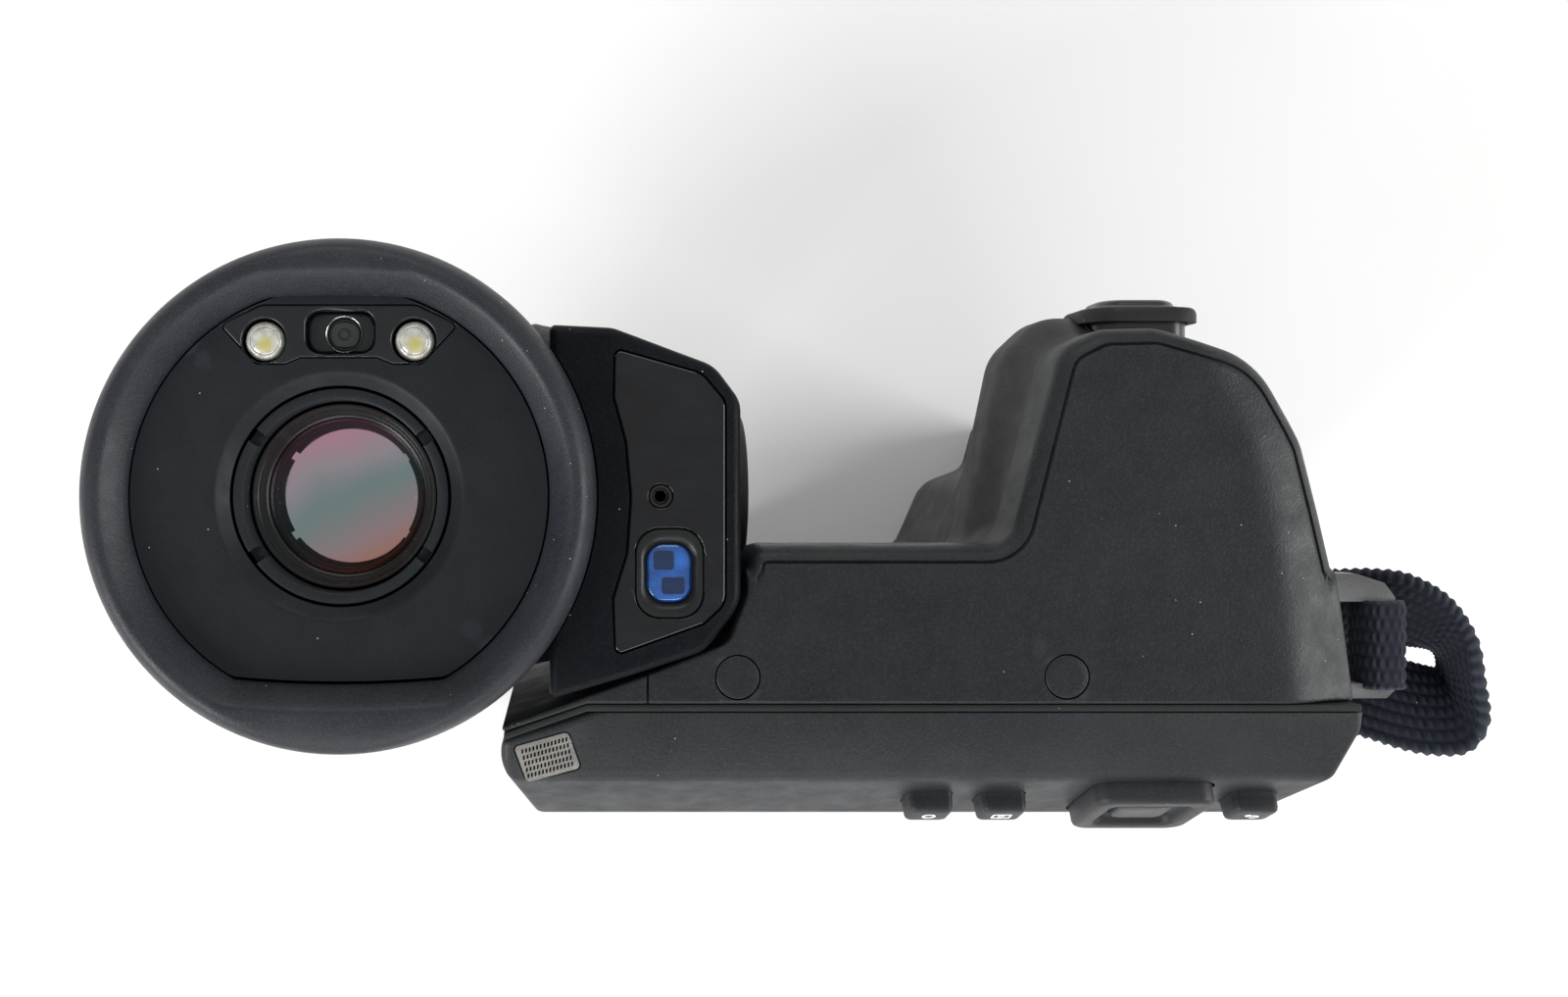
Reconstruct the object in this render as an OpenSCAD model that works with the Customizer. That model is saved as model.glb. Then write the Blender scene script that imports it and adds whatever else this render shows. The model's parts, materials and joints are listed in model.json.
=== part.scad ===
// Thermal imaging camera with a tilting lens block, a rear display and a side grip.
// Millimetres. +X towards the grip, +Y towards the scene in use, +Z up.
// The origin is the mouth of the tripod socket in the base.

/* [Lens block] */
// Height of the tilt axis above the base
pivot_z = 100; // [98:0.5:101]
// Place of the tilt axis and of the optical axis along Y
pivot_y = 29.5; // [29:0.5:30]
// Place of the optical axis along X
lens_x = -95.5; // [-96:0.5:-95]
// Outer radius of the rubber ring
ring_r = 39.9; // [39.5:0.1:40]
// Height of the rubber ring's crest with the lens pointing up
ring_top = 150.5; // [150:0.5:151]
// Depth of the face plate below the ring's crest
plate_drop = 4.5; // [4:0.5:5]
// Radius of the face plate
plate_r = 32.3; // [32:0.1:32.5]
// Radius of the barrel behind the ring
barrel_r = 36; // [35:0.5:36.5]
// Height of the laser wing's front edge
wing_top = 142.5; // [142:0.5:143]
// Radius of the infrared lens
ir_lens_r = 12.5; // [12:0.1:12.8]

/* [Body] */
// Height of the front cover's top face
body_top = 140; // [139:0.5:140.5]
// Depth of the front cover
cover_depth = 12; // [11:0.5:13]
// Wall thickness of the shells
wall = 2.5; // [2:0.25:3]
// Radius of the screw plugs
plug_r = 3.55; // [3:0.05:4]

/* [Display housing] */
// Place of the display face along Y
display_y = -26.5; // [-27:0.5:-26]
// Tilt of the button strip from upright, in degrees
strip_tilt = 27; // [25:1:29]
// Width of the button strip
strip_w = 22; // [21:0.5:23]
// Width of the display's active area
screen_w = 81; // [80:1:84]
// Height of the display's active area
screen_h = 61; // [60:1:63]

/* [Controls] */
// Side of the square P, gallery and back buttons
key_w = 7.4; // [7:0.1:7.8]
// Height of a key above the button strip
key_h = 3.3; // [3:0.1:3.6]
// Width of the navigation ring
nav_w = 19.6; // [19:0.2:20]
// Gap around each key
key_gap = 0.3; // [0.3:0.05:0.4]

/* [Hidden] */
$fn = 72;

// Small gap between fixed neighbours
fit = 0.05;
// Places worked out from the driving sizes
plate_z = ring_top - plate_drop;
cover_z = body_top - cover_depth;
ring_base_z = 128;
neck_r = 33.8;
neck_z = plate_z - 2;
seam_front = -3.5;
seam_rear = -5;
strip_top_y = -16.5;
strip_top_z = 135;
strip_low_y = strip_top_y - strip_w * sin(strip_tilt);
strip_low_z = strip_top_z - strip_w * cos(strip_tilt);
strip_turn = 90 - strip_tilt;
screen_x = -4;
screen_z = 63;
glass_w = screen_w + 11;
glass_h = screen_h + 13;
housing_wall = 2.8;
hub_right = -32.8;
ear_left = -31.6;
ear_right = -28.2;
tube_r = 8;
bush_r = 10.5;
trigger_x = 37;
trigger_z = 119;
focus_x = 35;
focus_z = 98;
foot_top_z = 22;
shin_top_z = 44;
waist_top_z = 80;
palm_top_z = 108;
door_x = 45.2;
door_w = 25;
door_pin_y = 28.2;
lug_y = 0;
lug_top_z = 122;
lug_low_z = 14;
socket_y = 7;
power_x = 52;
power_z = 14;
flap_z = 22;
flap_h = 40;
key_x = [0.5, 12.7, 54.7];
nav_x = 36.3;

// A corner of an outline, rounded: p and s are the neighbours of q, and q holds [x, y, radius].
function unit(v) = v / norm(v);
function xy(p) = [p[0], p[1]];
function turn(a) = a > 180 ? a - 360 : a < -180 ? a + 360 : a;
function arc(c, r, a, sweep, n) = [for (i = [0 : n]) c + r * [cos(a + sweep * i / n), sin(a + sweep * i / n)]];
function corner(p, q, s) =
    let (u = unit(xy(p) - xy(q)), v = unit(xy(s) - xy(q)), half = acos(u * v) / 2)
    let (t = q[2] / tan(half), c = xy(q) + unit(u + v) * q[2] / sin(half))
    let (a = xy(q) + u * t - c, b = xy(q) + v * t - c)
    let (a0 = atan2(a[1], a[0]), a1 = atan2(b[1], b[0]))
    arc(c, q[2], a0, turn(a1 - a0), 5);
function rounded(o) = [
    for (i = [0 : len(o) - 1]) each
        o[i][2] == 0 ? [xy(o[i])] : corner(o[(i + len(o) - 1) % len(o)], o[i], o[(i + 1) % len(o)])
];

// Outlines in plan, as [x, y, corner radius]. The tail is shared: the tongue below the wing and the seam.
tongue = [[-70.5, -7, 0.5], [-47.9, 1, 0], [-34.3, 6.3, 4], [ear_left, 14, 3]];
tail = [[63.6, 18, 0], [66.7, seam_front, 0.4], [-57, seam_front, 0], [-70.5, -8, 0]];
cover_outline = concat(tongue, [
    [ear_left, 21.6, 3.2], [10.5, 21.6, 5], [18.5, 53, 6], [25, 56.2, 6], [34, 56.4, 0],
    [51, 51.5, 14], [58.6, 38, 10]
], tail);
grip_outline = concat(tongue, [
    [ear_left, 18.5, 2], [8, 18.5, 4], [15.3, 54, 8], [22, 60.4, 6], [40, 60.6, 8],
    [51.5, 53, 12], [58.6, 38, 10]
], tail);
palm_outline = concat(tongue, [
    [ear_left, 18, 2], [14, 18, 4], [24.5, 52, 8], [31, 58.5, 7], [41, 59.5, 8],
    [51.5, 52, 12], [58.6, 38, 10]
], tail);
waist_outline = concat(tongue, [
    [ear_left, 17.5, 2], [13.4, 17.5, 3], [20, 31.5, 6], [29.5, 35, 5], [34.5, 52, 7],
    [44, 53, 8], [59.5, 32, 8]
], tail);
shin_outline = concat(tongue, [
    [ear_left, 16.5, 2], [18.4, 16.5, 3], [24.5, 30.5, 6], [34.5, 34.8, 5], [37.5, 46.5, 6],
    [46, 48, 8], [59, 33, 8]
], tail);
foot_outline = concat(tongue, [
    [ear_left, 15.6, 2], [23.4, 15.6, 3], [29.5, 30, 6], [41.5, 36, 5], [44.5, 45.5, 3.4],
    [51, 45, 6], [58.5, 34, 8]
], tail);
housing_outline = [
    [-57, seam_rear, 0], [67.2, seam_rear, 0.8], [67.5, -8, 2], [63.6, -19, 4], [61, display_y, 2],
    [-65.6, display_y, 2], [-71, -13.5, 2], [-70.8, -9.7, 0]
];
seal_outline = [
    [-57, seam_front - fit, 0], [66.4, seam_front - fit, 0], [66.6, seam_rear + fit, 0],
    [-57, seam_rear + fit, 0], [-70.4, -9.5, 0], [-70.4, -8.1, 0]
];
wing_outline = [
    [-63, 56.6, 1], [-53, 56.1, 6], [-37, 50.1, 6], [hub_right, 44.5, 5], [hub_right, 12.5, 7],
    [-38.5, 5, 6], [-50.7, 1, 0], [-63, -2.6, 1]
];
laser_glass_outline = [
    [-52.9, 53, 1.2], [-38.9, 49, 4], [-35.1, 44.5, 3], [-35.1, 12.5, 4], [-38.6, 9.3, 2],
    [-52.8, 4.2, 1.2], [-53.2, 13.5, 2], [-51, 20.5, 6], [-50.4, 29.5, 0], [-51.2, 38, 6], [-53.1, 45, 3]
];
lamp_outline = [
    [-18.4, 26.6, 0.8], [-12.9, 20.5, 1.6], [-8.3, 20.5, 1], [-5.9, 21.5, 1], [5.9, 21.5, 1],
    [8.3, 20.5, 1], [12.9, 20.5, 1.6], [18.4, 26.6, 0.8], [12, 29.6, 3], [-12, 29.6, 3]
];
screw_places = [[-33.1, 0.7], [19.2, 0.8]];

// The hand strap's route and half-width, as [place, half-width vector]
strap_t = 2.4;
strap_route = [
    [[75, 8, 112], [0, 8.3, 3]], [[80, 9, 113.5], [0, 7.5, 4.6]], [[85, 9, 115], [0, 6.6, 6]],
    [[91.3, 7, 114.5], [-0.3, 4.6, 7.6]], [[96, 3.4, 113.5], [-1, 1.6, 8.6]],
    [[98, -1, 113], [-1.4, -1.5, 8.5]], [[98.6, -6, 112.8], [-0.6, -4, 7.8]],
    [[96.7, -8.5, 112.3], [0, -6.6, 6]], [[92.6, -8.6, 111], [0, -7.8, 4]],
    [[88.7, -7.6, 109], [0, -8.4, 2.5]], [[84.6, -6, 105], [0, -8.7, 1.2]], [[81.2, -5.2, 98], [0, -8.8, 0]],
    [[80, -4.5, 86], [0, -8.8, 0]], [[80.5, -3, 66], [0, -8.8, 0]], [[80, -1.5, 46], [0, -8.8, 0]],
    [[78.6, 0, 31], [0, -8.8, 0]], [[76.5, 0, 20], [0, -8.8, 0]]
];

strap_steps = 3;
strap_n = (len(strap_route) - 1) * strap_steps;

// Building blocks
module slab(outline, z, h) { translate([0, 0, z]) linear_extrude(h) polygon(rounded(outline)); }
module rbox(w, d, h, r) {
    linear_extrude(h)
        polygon(rounded([[-w / 2, -d / 2, r], [w / 2, -d / 2, r], [w / 2, d / 2, r], [-w / 2, d / 2, r]]));
}
module ring(ro, ri, h) {
    difference() {
        cylinder(h = h, r = ro);
        translate([0, 0, -1]) cylinder(h = h + 2, r = ri);
    }
}
// Local frames: button strip, display face, scene side of the grip, lens axis, tilt axis, left end
module on_strip(x, up = 0) {
    translate([x, (strip_top_y + strip_low_y) / 2, (strip_top_z + strip_low_z) / 2])
        rotate([strip_turn, 0, 0]) translate([0, up, 0]) children();
}
module on_display(x, z) { translate([x, display_y, z]) rotate([90, 0, 0]) children(); }
module on_grip(x, z, y) { translate([x, y, z]) rotate([-90, 0, 0]) children(); }
module on_lens(z) { translate([lens_x, pivot_y, z]) children(); }
module on_pivot(x) { translate([x, pivot_y, pivot_z]) rotate([0, 90, 0]) children(); }
module on_end(z) { translate([-68.3, -20, z]) rotate([0, 0, 202.56]) children(); }
module on_grille() { translate([-63.4, -12.7, 136.36]) rotate([19.8, 0, 0]) rotate([0, 0, 17.6]) children(); }

// Rooms inside the body
module mid_room(z, h) { translate([-27, -1.6, z]) cube([38, 16, h]); }
module grip_room(z, h, x0, x1, y1) { translate([x0, -1.6, z]) cube([x1 - x0, y1 + 1.6, h]); }

module front_cover() {
    color("#26292c") difference() {
        slab(cover_outline, cover_z, cover_depth);
        mid_room(cover_z - 1, cover_depth - wall + 1);
        grip_room(cover_z - 1, cover_depth - wall + 1, 24.5, 56.5, 44);
        for (p = screw_places) translate([p[0], p[1], cover_z - 1]) {
            cylinder(h = cover_depth + 2, r = 1.65);
            translate([0, 0, cover_depth - 9]) cylinder(h = 11, r = plug_r);
        }
    }
}

module grip_shell() {
    color("#323538") difference() {
        union() {
            slab(grip_outline, palm_top_z, cover_z - palm_top_z - fit);
            slab(palm_outline, waist_top_z, palm_top_z - waist_top_z);
            slab(waist_outline, shin_top_z, waist_top_z - shin_top_z);
            slab(shin_outline, foot_top_z, shin_top_z - foot_top_z);
            slab(foot_outline, 0, foot_top_z);
            on_pivot(ear_left) cylinder(h = ear_right - ear_left, r = 15);
        }
        mid_room(3, cover_z);
        grip_room(3, waist_top_z - 2, 32.9, 57.9, 27);
        grip_room(waist_top_z, cover_z, 24.5, 56.5, 37);
        translate([door_x - door_w / 2 - 0.3, 0, -1]) cube([door_w + 0.6, 30, 5]);
        on_pivot(ear_left - 1) cylinder(h = 3.2, r = 12.1);
        on_grip(trigger_x, trigger_z, 30) rbox(17, 15, 40, 4);
        on_grip(trigger_x, trigger_z, 58.6) rbox(20, 16.8, 10, 5);
        on_grip(focus_x, focus_z, 30) cylinder(h = 40, r = 5.3);
        for (p = screw_places) translate([p[0], p[1], cover_z - 14]) cylinder(h = 15, r = 1.35);
        translate([0, socket_y, -1]) cylinder(h = 11, r = 6.05);
        for (z = [lug_top_z, lug_low_z]) translate([60, lug_y - 3.5, z - 5]) cube([12, 17, 10]);
    }
}

module processing_unit() { color("#8b9096") translate([-26.2, -0.8, 12]) cube([36.4, 14.4, body_top - 16]); }

// Moulded block behind the trigger that carries the trigger and focus switches
module switch_carrier() { color("#33363a") translate([25.5, -0.8, 82]) cube([30, 36.8, 44.5]); }

module body_seal() {
    color("#1c1e20") difference() {
        slab(seal_outline, 0.8, body_top - 1.4);
        translate([-52, -8, 6]) cube([112, 6, body_top - 14]);
    }
}

module housing_profile(inset) {
    translate([-80, 0, 0]) rotate([90, 0, 90]) linear_extrude(160) polygon([
        [seam_rear + inset, inset], [seam_rear + inset, body_top - 1 - inset],
        [strip_top_y + 0.3 * inset, strip_top_z - 1.2 * inset], [strip_low_y + inset, strip_low_z - 0.5 * inset],
        [display_y + inset, 6 + inset], [display_y + 4 + inset, inset]
    ]);
}

module display_housing() {
    color("#33373b") difference() {
        intersection() {
            slab(housing_outline, 0, body_top);
            housing_profile(0);
        }
        intersection() {
            translate([-61, -40, 0]) cube([118, 36, body_top]);
            housing_profile(housing_wall);
        }
        translate([-61, seam_rear - housing_wall - 1, 6]) cube([118, 10, body_top - 12]);
        on_display(screen_x, screen_z) translate([0, 0, -5]) rbox(glass_w, glass_h, 10, 3);
        for (x = key_x) on_strip(x) translate([0, 0, -8]) rbox(key_w + 2 * key_gap, key_w, 16, 1.2);
        on_strip(nav_x) translate([0, 0, -8]) rbox(nav_w + 0.8, nav_w - 0.4, 16, 3);
        on_display(power_x, power_z) translate([0, 0, -8]) cylinder(h = 10, r = 4.3);
        on_grille() translate([0, 0, -0.9]) rbox(9.5, 7.3, 4, 1);
        on_grille() translate([0, 0, -6]) rbox(7.8, 5.6, 8, 0.8);
        on_end(flap_z) translate([-1.8, -5.2, 0]) cube([4, 10.6, flap_h]);
        on_end(flap_z + 1.5) translate([-9, -3.2, 0]) cube([10, 6.4, flap_h - 3]);
    }
}

module display_glass() {
    color("#0b0d10") on_display(screen_x, screen_z) translate([0, 0, -1.6]) rbox(glass_w - 0.3, glass_h - 0.3, 1.4, 2.8);
}
module lcd_panel() {
    color("#20242a") translate([screen_x - screen_w / 2 - 2, display_y + 1.8, screen_z - screen_h / 2 - 2])
        cube([screen_w + 4, 3, screen_h + 4]);
}
module display_frame() {
    color("#8b9096") difference() {
        translate([-56, display_y + 5, 20]) cube([108, 1.2, 84]);
        translate([-40, display_y + 4, 36]) cube([72, 4, 52]);
    }
}
module main_board() { color("#1f5a3c") translate([-56, -14, 10]) cube([108, 1.6, 98]); }
module button_board() { color("#1f5a3c") on_strip(24) translate([-32, -10, -9.6]) cube([64.5, 18, 1.2]); }
module battery_pack() { color("#4a4d52") translate([33.4, 1, 5]) cube([24, 24.4, 72]); }

module battery_door() {
    color("#2b2e31") difference() {
        union() {
            translate([door_x - door_w / 2, 0.4, 0.6]) cube([door_w, door_pin_y - 0.4, 2.4]);
            translate([door_x - door_w / 2, door_pin_y, 1.8]) rotate([0, 90, 0]) cylinder(h = door_w, r = 1.2);
        }
        translate([door_x - 5.3, 2.5, -1]) cube([10.6, 9.6, 3]);
    }
}
module battery_latch() { color("#c23b22") translate([door_x - 5, 2.8, 0.7]) cube([10, 5.6, 1.2]); }

module speaker_grille() { color("#8a8782") on_grille() translate([0, 0, -0.8]) rbox(9.2, 7, 0.8, 0.9); }
module speaker() {
    color("#3a3a3c") translate([-60, -16.5, 118]) cube([14, 10, 8]);
}
module screw_plugs() {
    color("#26292c") for (p = screw_places)
        translate([p[0], p[1], body_top - 5]) cylinder(h = 4.9, r = plug_r - fit);
}
module housing_screws() {
    color("#9a9da1") for (p = screw_places) translate([p[0], p[1], cover_z - 13.5]) {
        cylinder(h = 18, r = 1.25);
        translate([0, 0, 16 + fit]) cylinder(h = 2, r = 3);
    }
}
module tripod_insert() { color("#b08d57") translate([0, socket_y, 0]) ring(6, 3.175, 9); }

module connector_flap() {
    color("#202224") on_end(flap_z + 0.4) difference() {
        union() {
            translate([-1.5, -4.9, 0]) cube([1.5, 9.2, flap_h - 0.8]);
            translate([-0.75, 4.3, 0]) cylinder(h = flap_h - 0.8, r = 0.75);
        }
        translate([-0.6, -4, flap_h / 2 - 5]) cube([2, 1, 10]);
    }
}
module connector_board() { color("#1f5a3c") on_end(26.3) translate([-6.2, -3, 0]) cube([1.4, 6, 31]); }
module connector_ports() {
    color("#b9bcc0") on_end(0) for (z = [29, 41, 52]) translate([-4.6, -2.4, z - 4.3]) difference() {
        cube([2.4, 4.2, 8.6]);
        translate([1, 0.8, 0.8]) cube([4, 2.6, 7]);
    }
}

// A strap lug: a foot let into the grip's side and a loop that the webbing passes through
module strap_lug(z) {
    translate([60.2, lug_y - 3.2, z - 4.7]) cube([8, 16.4, 9.4]);
    difference() {
        translate([0, lug_y, z - 2]) linear_extrude(4)
            polygon([[68, -5], [68, 16.2], [73.5, 16.2], [78.6, 14.6], [80.4, 12.2], [80.4, -3.6], [79, -5]]);
        translate([71, lug_y - 2.5, z - 3]) cube([5.4, 13.9, 6]);
    }
}
module upper_strap_lug() { color("#6d7074") strap_lug(lug_top_z); }
module lower_strap_lug() { color("#6d7074") strap_lug(lug_low_z); }

// A smooth run through the route's points, and a rectangular ring of the strap at each step
function route_at(i, k) = strap_route[max(0, min(len(strap_route) - 1, i))][k];
function spline(i, k, u) =
    let (a = route_at(i - 1, k), b = route_at(i, k), c = route_at(i + 1, k), d = route_at(i + 2, k))
    0.5 * (2 * b + (c - a) * u + (2 * a - 5 * b + 4 * c - d) * u * u + (3 * b - a - 3 * c + d) * u * u * u);
function strap_place(j, k) = spline(floor(j / strap_steps), k, (j % strap_steps) / strap_steps);
function strap_ring(j) =
    let (p = strap_place(j, 0), w = strap_place(j, 1))
    let (t = strap_place(min(j + 1, strap_n), 0) - strap_place(max(j - 1, 0), 0))
    let (n = unit(cross(t, w)) * strap_t / 2)
    [p + w + n, p - w + n, p - w - n, p + w - n];
module hand_strap() {
    points = [for (j = [0 : strap_n]) each strap_ring(j)];
    sides = [
        for (j = [0 : strap_n - 1]) for (i = [0 : 3])
            let (a = 4 * j + i, b = 4 * j + (i + 1) % 4)
            each [[a, b + 4, b], [a, a + 4, b + 4]]
    ];
    z = 4 * strap_n;
    ends = [[0, 2, 3], [0, 1, 2], [z, z + 2, z + 1], [z, z + 3, z + 2]];
    color("#2a2f38") polyhedron(points, concat(sides, ends));
}

module pivot_tube() {
    color("#9fa3a8") on_pivot(0) difference() {
        union() {
            translate([0, 0, ear_left + fit]) cylinder(h = 2, r = 12);
            translate([0, 0, -57]) cylinder(h = 57 + ear_left + 1, r = tube_r);
        }
        translate([0, 0, -60]) cylinder(h = 40, r = 5);
    }
}

// Keys of the button strip
module key(x) { color("#2d3033") on_strip(x) translate([0, 0, -7]) rbox(key_w, key_w - 2 * key_gap, 7 + key_h, 1); }
module p_button() { key(key_x[0]); }
module gallery_button() { key(key_x[1]); }
module back_button() { key(key_x[2]); }
module nav_rocker() {
    color("#55585c") on_strip(nav_x) translate([0, 0, -7.2]) difference() {
        rbox(14, 13, 1.2, 2);
        translate([0, 0, -1]) cylinder(h = 4, r = 3.2);
    }
}
module nav_ring() {
    color("#2d3033") on_strip(nav_x) difference() {
        translate([0, 0, -5.2]) rbox(nav_w, nav_w - 1.6, 5.2 + key_h, 3);
        translate([0, 0, key_h - 1.5]) rbox(13, 11.6, 3, 2.2);
        translate([0, 0, -6]) rbox(9.4, 8, 12, 1.6);
    }
}
module nav_center() { color("#3a3d41") on_strip(nav_x) translate([0, 0, -4.6]) rbox(8.8, 7.4, 4.6 + key_h - 0.6, 1.4); }
module power_button() { color("#2d3033") on_display(power_x, power_z) translate([0, 0, -6]) cylinder(h = 7.2, r = 4); }

module trigger_button() {
    color("#17191b") on_grip(trigger_x, trigger_z, 50) {
        rbox(16.2, 14.2, 11.4, 3.8);
        translate([0, 0, 11.4]) rbox(13, 11, 1.4, 3.4);
    }
}
module trigger_collar() {
    color("#1e2022") on_grip(trigger_x, trigger_z, 58.7) difference() {
        rbox(19.8, 16.6, 2.4, 4.9);
        translate([0, 0, -1]) rbox(17, 15, 5, 4);
    }
}
module focus_button() { color("#17191b") on_grip(focus_x, focus_z, 50) cylinder(h = 12, r = 5); }

// Lens block
module barrel(grow) {
    on_lens(pivot_z) {
        sphere(r = barrel_r + grow);
        cylinder(h = ring_base_z - pivot_z, r = barrel_r + grow);
    }
}
module lens_housing() {
    color("#2a2d30") difference() {
        union() {
            barrel(0);
            on_lens(ring_base_z - 1) cylinder(h = neck_z - ring_base_z + 1 - fit, r = neck_r);
        }
        on_lens(pivot_z) sphere(r = barrel_r - 3);
        on_lens(pivot_z) cylinder(h = 24, r = barrel_r - 3);
        on_lens(pivot_z + 20) cylinder(h = 40, r = 14.9);
        on_lens(neck_z - 10.5) cylinder(h = 20, r = 17.2);
        on_lens(neck_z - 3) linear_extrude(10) polygon(rounded(lamp_outline));
        for (x = [-11.6, 11.6]) on_lens(neck_z - 6) translate([x, 24.1, 0]) cylinder(h = 10, r = 3.6);
        on_lens(neck_z - 12) translate([0.6, 25.2, 0]) cylinder(h = 20, r = 3.5);
        for (a = [20, 160, 225, 315]) on_lens(neck_z - 9) rotate([0, 0, a]) translate([26, 0, 0]) cylinder(h = 20, r = 1.6);
    }
}

module laser_wing() {
    color("#23262a") difference() {
        union() {
            slab(wing_outline, pivot_z, wing_top - pivot_z);
            on_pivot(0) rotate_extrude() polygon([
                [0, -66], [31.5, -66], [28.5, -50.7], [24.5, -38.5], [20.5, -34.3], [16, hub_right], [0, hub_right]
            ]);
        }
        barrel(fit);
        on_lens(ring_base_z - 0.5) cylinder(h = 30, r = ring_r + 0.3);
        slab(laser_glass_outline, wing_top - 1.6, 5);
        translate([-53, 12, pivot_z + 14]) cube([16.5, 34, wing_top - pivot_z - 17]);
        on_pivot(-61) cylinder(h = 40, r = bush_r);
        translate([-44.1, 17.4, wing_top - 8]) rbox(11, 14.4, 20, 4);
        translate([-45.5, pivot_y, wing_top - 8]) cylinder(h = 20, r = 2.9);
    }
}

module front_ring() {
    color("#2b2e33") on_lens(0) rotate_extrude() polygon([
        [plate_r + fit, neck_z], [plate_r + fit, plate_z + 1], [plate_r + 1.4, ring_top - 1],
        [plate_r + 3.2, ring_top], [ring_r - 2.6, ring_top - 0.4], [ring_r - 1, ring_top - 1.5],
        [ring_r - 0.2, ring_top - 3], [ring_r, ring_top - 4.5], [ring_r, ring_base_z + 7],
        [ring_r - 1, ring_base_z + 2], [barrel_r, ring_base_z], [neck_r + fit, ring_base_z], [neck_r + fit, neck_z]
    ]);
}

module face_plate() {
    color("#2e3338") on_lens(neck_z) difference() {
        intersection() {
            cylinder(h = plate_z - neck_z, r = plate_r);
            translate([-50, -28.6, -1]) cube([100, 100, 10]);
        }
        translate([0, 0, -0.5]) cylinder(h = plate_z - neck_z + 0.51, r1 = 17.2, r2 = 19.2);
        translate([0, 0, -1]) linear_extrude(10) polygon(rounded(lamp_outline));
    }
}

module lamp_window() {
    color("#14171a") on_lens(plate_z - 2.2) difference() {
        linear_extrude(1.4) offset(delta = -0.1) polygon(rounded(lamp_outline));
        for (x = [-11.6, 11.6]) translate([x, 24.1, -1]) cylinder(h = 5, r = 3.3);
        translate([0.2, 25.4, -1]) rbox(11, 6.8, 5, 1.4);
    }
}
module lamp_domes() {
    color("#d8d8cf") for (x = [-11.6, 11.6]) on_lens(plate_z - 3.2) translate([x, 24.1, 0]) {
        cylinder(h = 1.2, r = 3.15);
        translate([0, 0, 1.2]) scale(0.63) intersection() {
            translate([0, 0, -2.5]) sphere(r = 5.6);
            cylinder(h = 10, r = 5);
        }
    }
}
module lamp_chips() { color("#e6d36a") for (x = [-11.6, 11.6]) on_lens(plate_z - 4.6) translate([x, 24.1, 0]) rbox(3.4, 3.4, 1.2, 0.4); }
module camera_bezel() {
    color("#0f1113") on_lens(plate_z - 3.4) translate([0.2, 25.4, 0]) difference() {
        rbox(10.7, 6.5, 1.9, 1.3);
        translate([0.4, -0.2, -1]) cylinder(h = 5, r = 2.9);
    }
}
module visible_camera() {
    color("#1a1c22") on_lens(plate_z - 8) translate([0.6, 25.2, 0]) {
        cylinder(h = 6.2, r = 2.8);
    }
}

module focus_ring() {
    color("#1b1d20") on_lens(neck_z - 9.8) difference() {
        ring(16.9, 15, 10.2);
        for (a = [35, 145, 215, 325]) rotate([0, 0, a]) translate([14, -1.3, 8.8]) cube([4, 2.6, 3]);
    }
}
module lens_cell() {
    color("#15171a") on_lens(0) rotate_extrude() polygon([
        [ir_lens_r - 1, 126], [14.7, 126], [14.7, 140.6], [ir_lens_r + 1, 138.2], [ir_lens_r + 0.05, 137.6],
        [ir_lens_r + 0.05, 131.9], [ir_lens_r - 1, 131.9]
    ]);
}
module ir_lens() {
    color("#7a6a86") on_lens(132) intersection() {
        cylinder(h = 12, r = ir_lens_r);
        translate([0, 0, -22.5]) sphere(r = 29.5);
    }
}
module ir_detector() { color("#8e9196") on_lens(104) translate([-9, -9, 0]) cube([18, 18, 10]); }
module detector_board() { color("#1f5a3c") on_lens(100.8) translate([-15, -15, 0]) cube([30, 30, 1.6]); }
module lens_screws() {
    color("#9a9da1") for (a = [20, 160, 225, 315]) on_lens(neck_z - 8) rotate([0, 0, a]) translate([26, 0, 0])
        cylinder(h = 7.8, r = 1.5);
}

module laser_glass() {
    color("#0d0f12") difference() {
        translate([0, 0, wing_top - 1.5]) linear_extrude(1.2) offset(delta = -0.12) polygon(rounded(laser_glass_outline));
        translate([-45.5, pivot_y, wing_top - 3]) cylinder(h = 6, r = 2.5);
    }
}
module laser_emitter() { color("#202226") translate([-45.5, pivot_y, wing_top - 12]) ring(2.8, 1, 9.4); }
module receiver_frame() {
    color("#101216") translate([-44.1, 17.4, wing_top - 5]) difference() {
        rbox(10.6, 14, 3.3, 3.8);
        translate([0, 0, -1]) rbox(7.5, 9.6, 6, 3);
    }
}
module receiver_lens() { color("#1f55b5") translate([-44.1, 17.4, wing_top - 5]) rbox(7.2, 9.3, 2, 2.8); }
module laser_board() { color("#1f5a3c") translate([-52, 13, 118]) cube([15, 32, 1.6]); }
module pivot_bush() { color("#b08d57") on_pivot(-56) ring(bush_r - fit, tube_r + fit, 22); }

front_cover();
grip_shell();
processing_unit();
switch_carrier();
body_seal();
display_housing();
display_glass();
lcd_panel();
display_frame();
main_board();
button_board();
battery_pack();
battery_door();
battery_latch();
speaker_grille();
speaker();
screw_plugs();
housing_screws();
tripod_insert();
connector_flap();
connector_board();
connector_ports();
upper_strap_lug();
lower_strap_lug();
hand_strap();
pivot_tube();
p_button();
gallery_button();
back_button();
nav_rocker();
nav_ring();
nav_center();
power_button();
trigger_button();
trigger_collar();
focus_button();
lens_housing();
laser_wing();
front_ring();
face_plate();
lamp_window();
lamp_domes();
lamp_chips();
visible_camera();
camera_bezel();
focus_ring();
lens_cell();
ir_lens();
ir_detector();
detector_board();
laser_glass();
laser_emitter();
receiver_lens();
receiver_frame();
laser_board();
pivot_bush();
lens_screws();
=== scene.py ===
import json
import math
import random

import bmesh
import bpy
import numpy as np
from mathutils import Matrix, Vector
from mathutils.geometry import delaunay_2d_cdt


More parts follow.
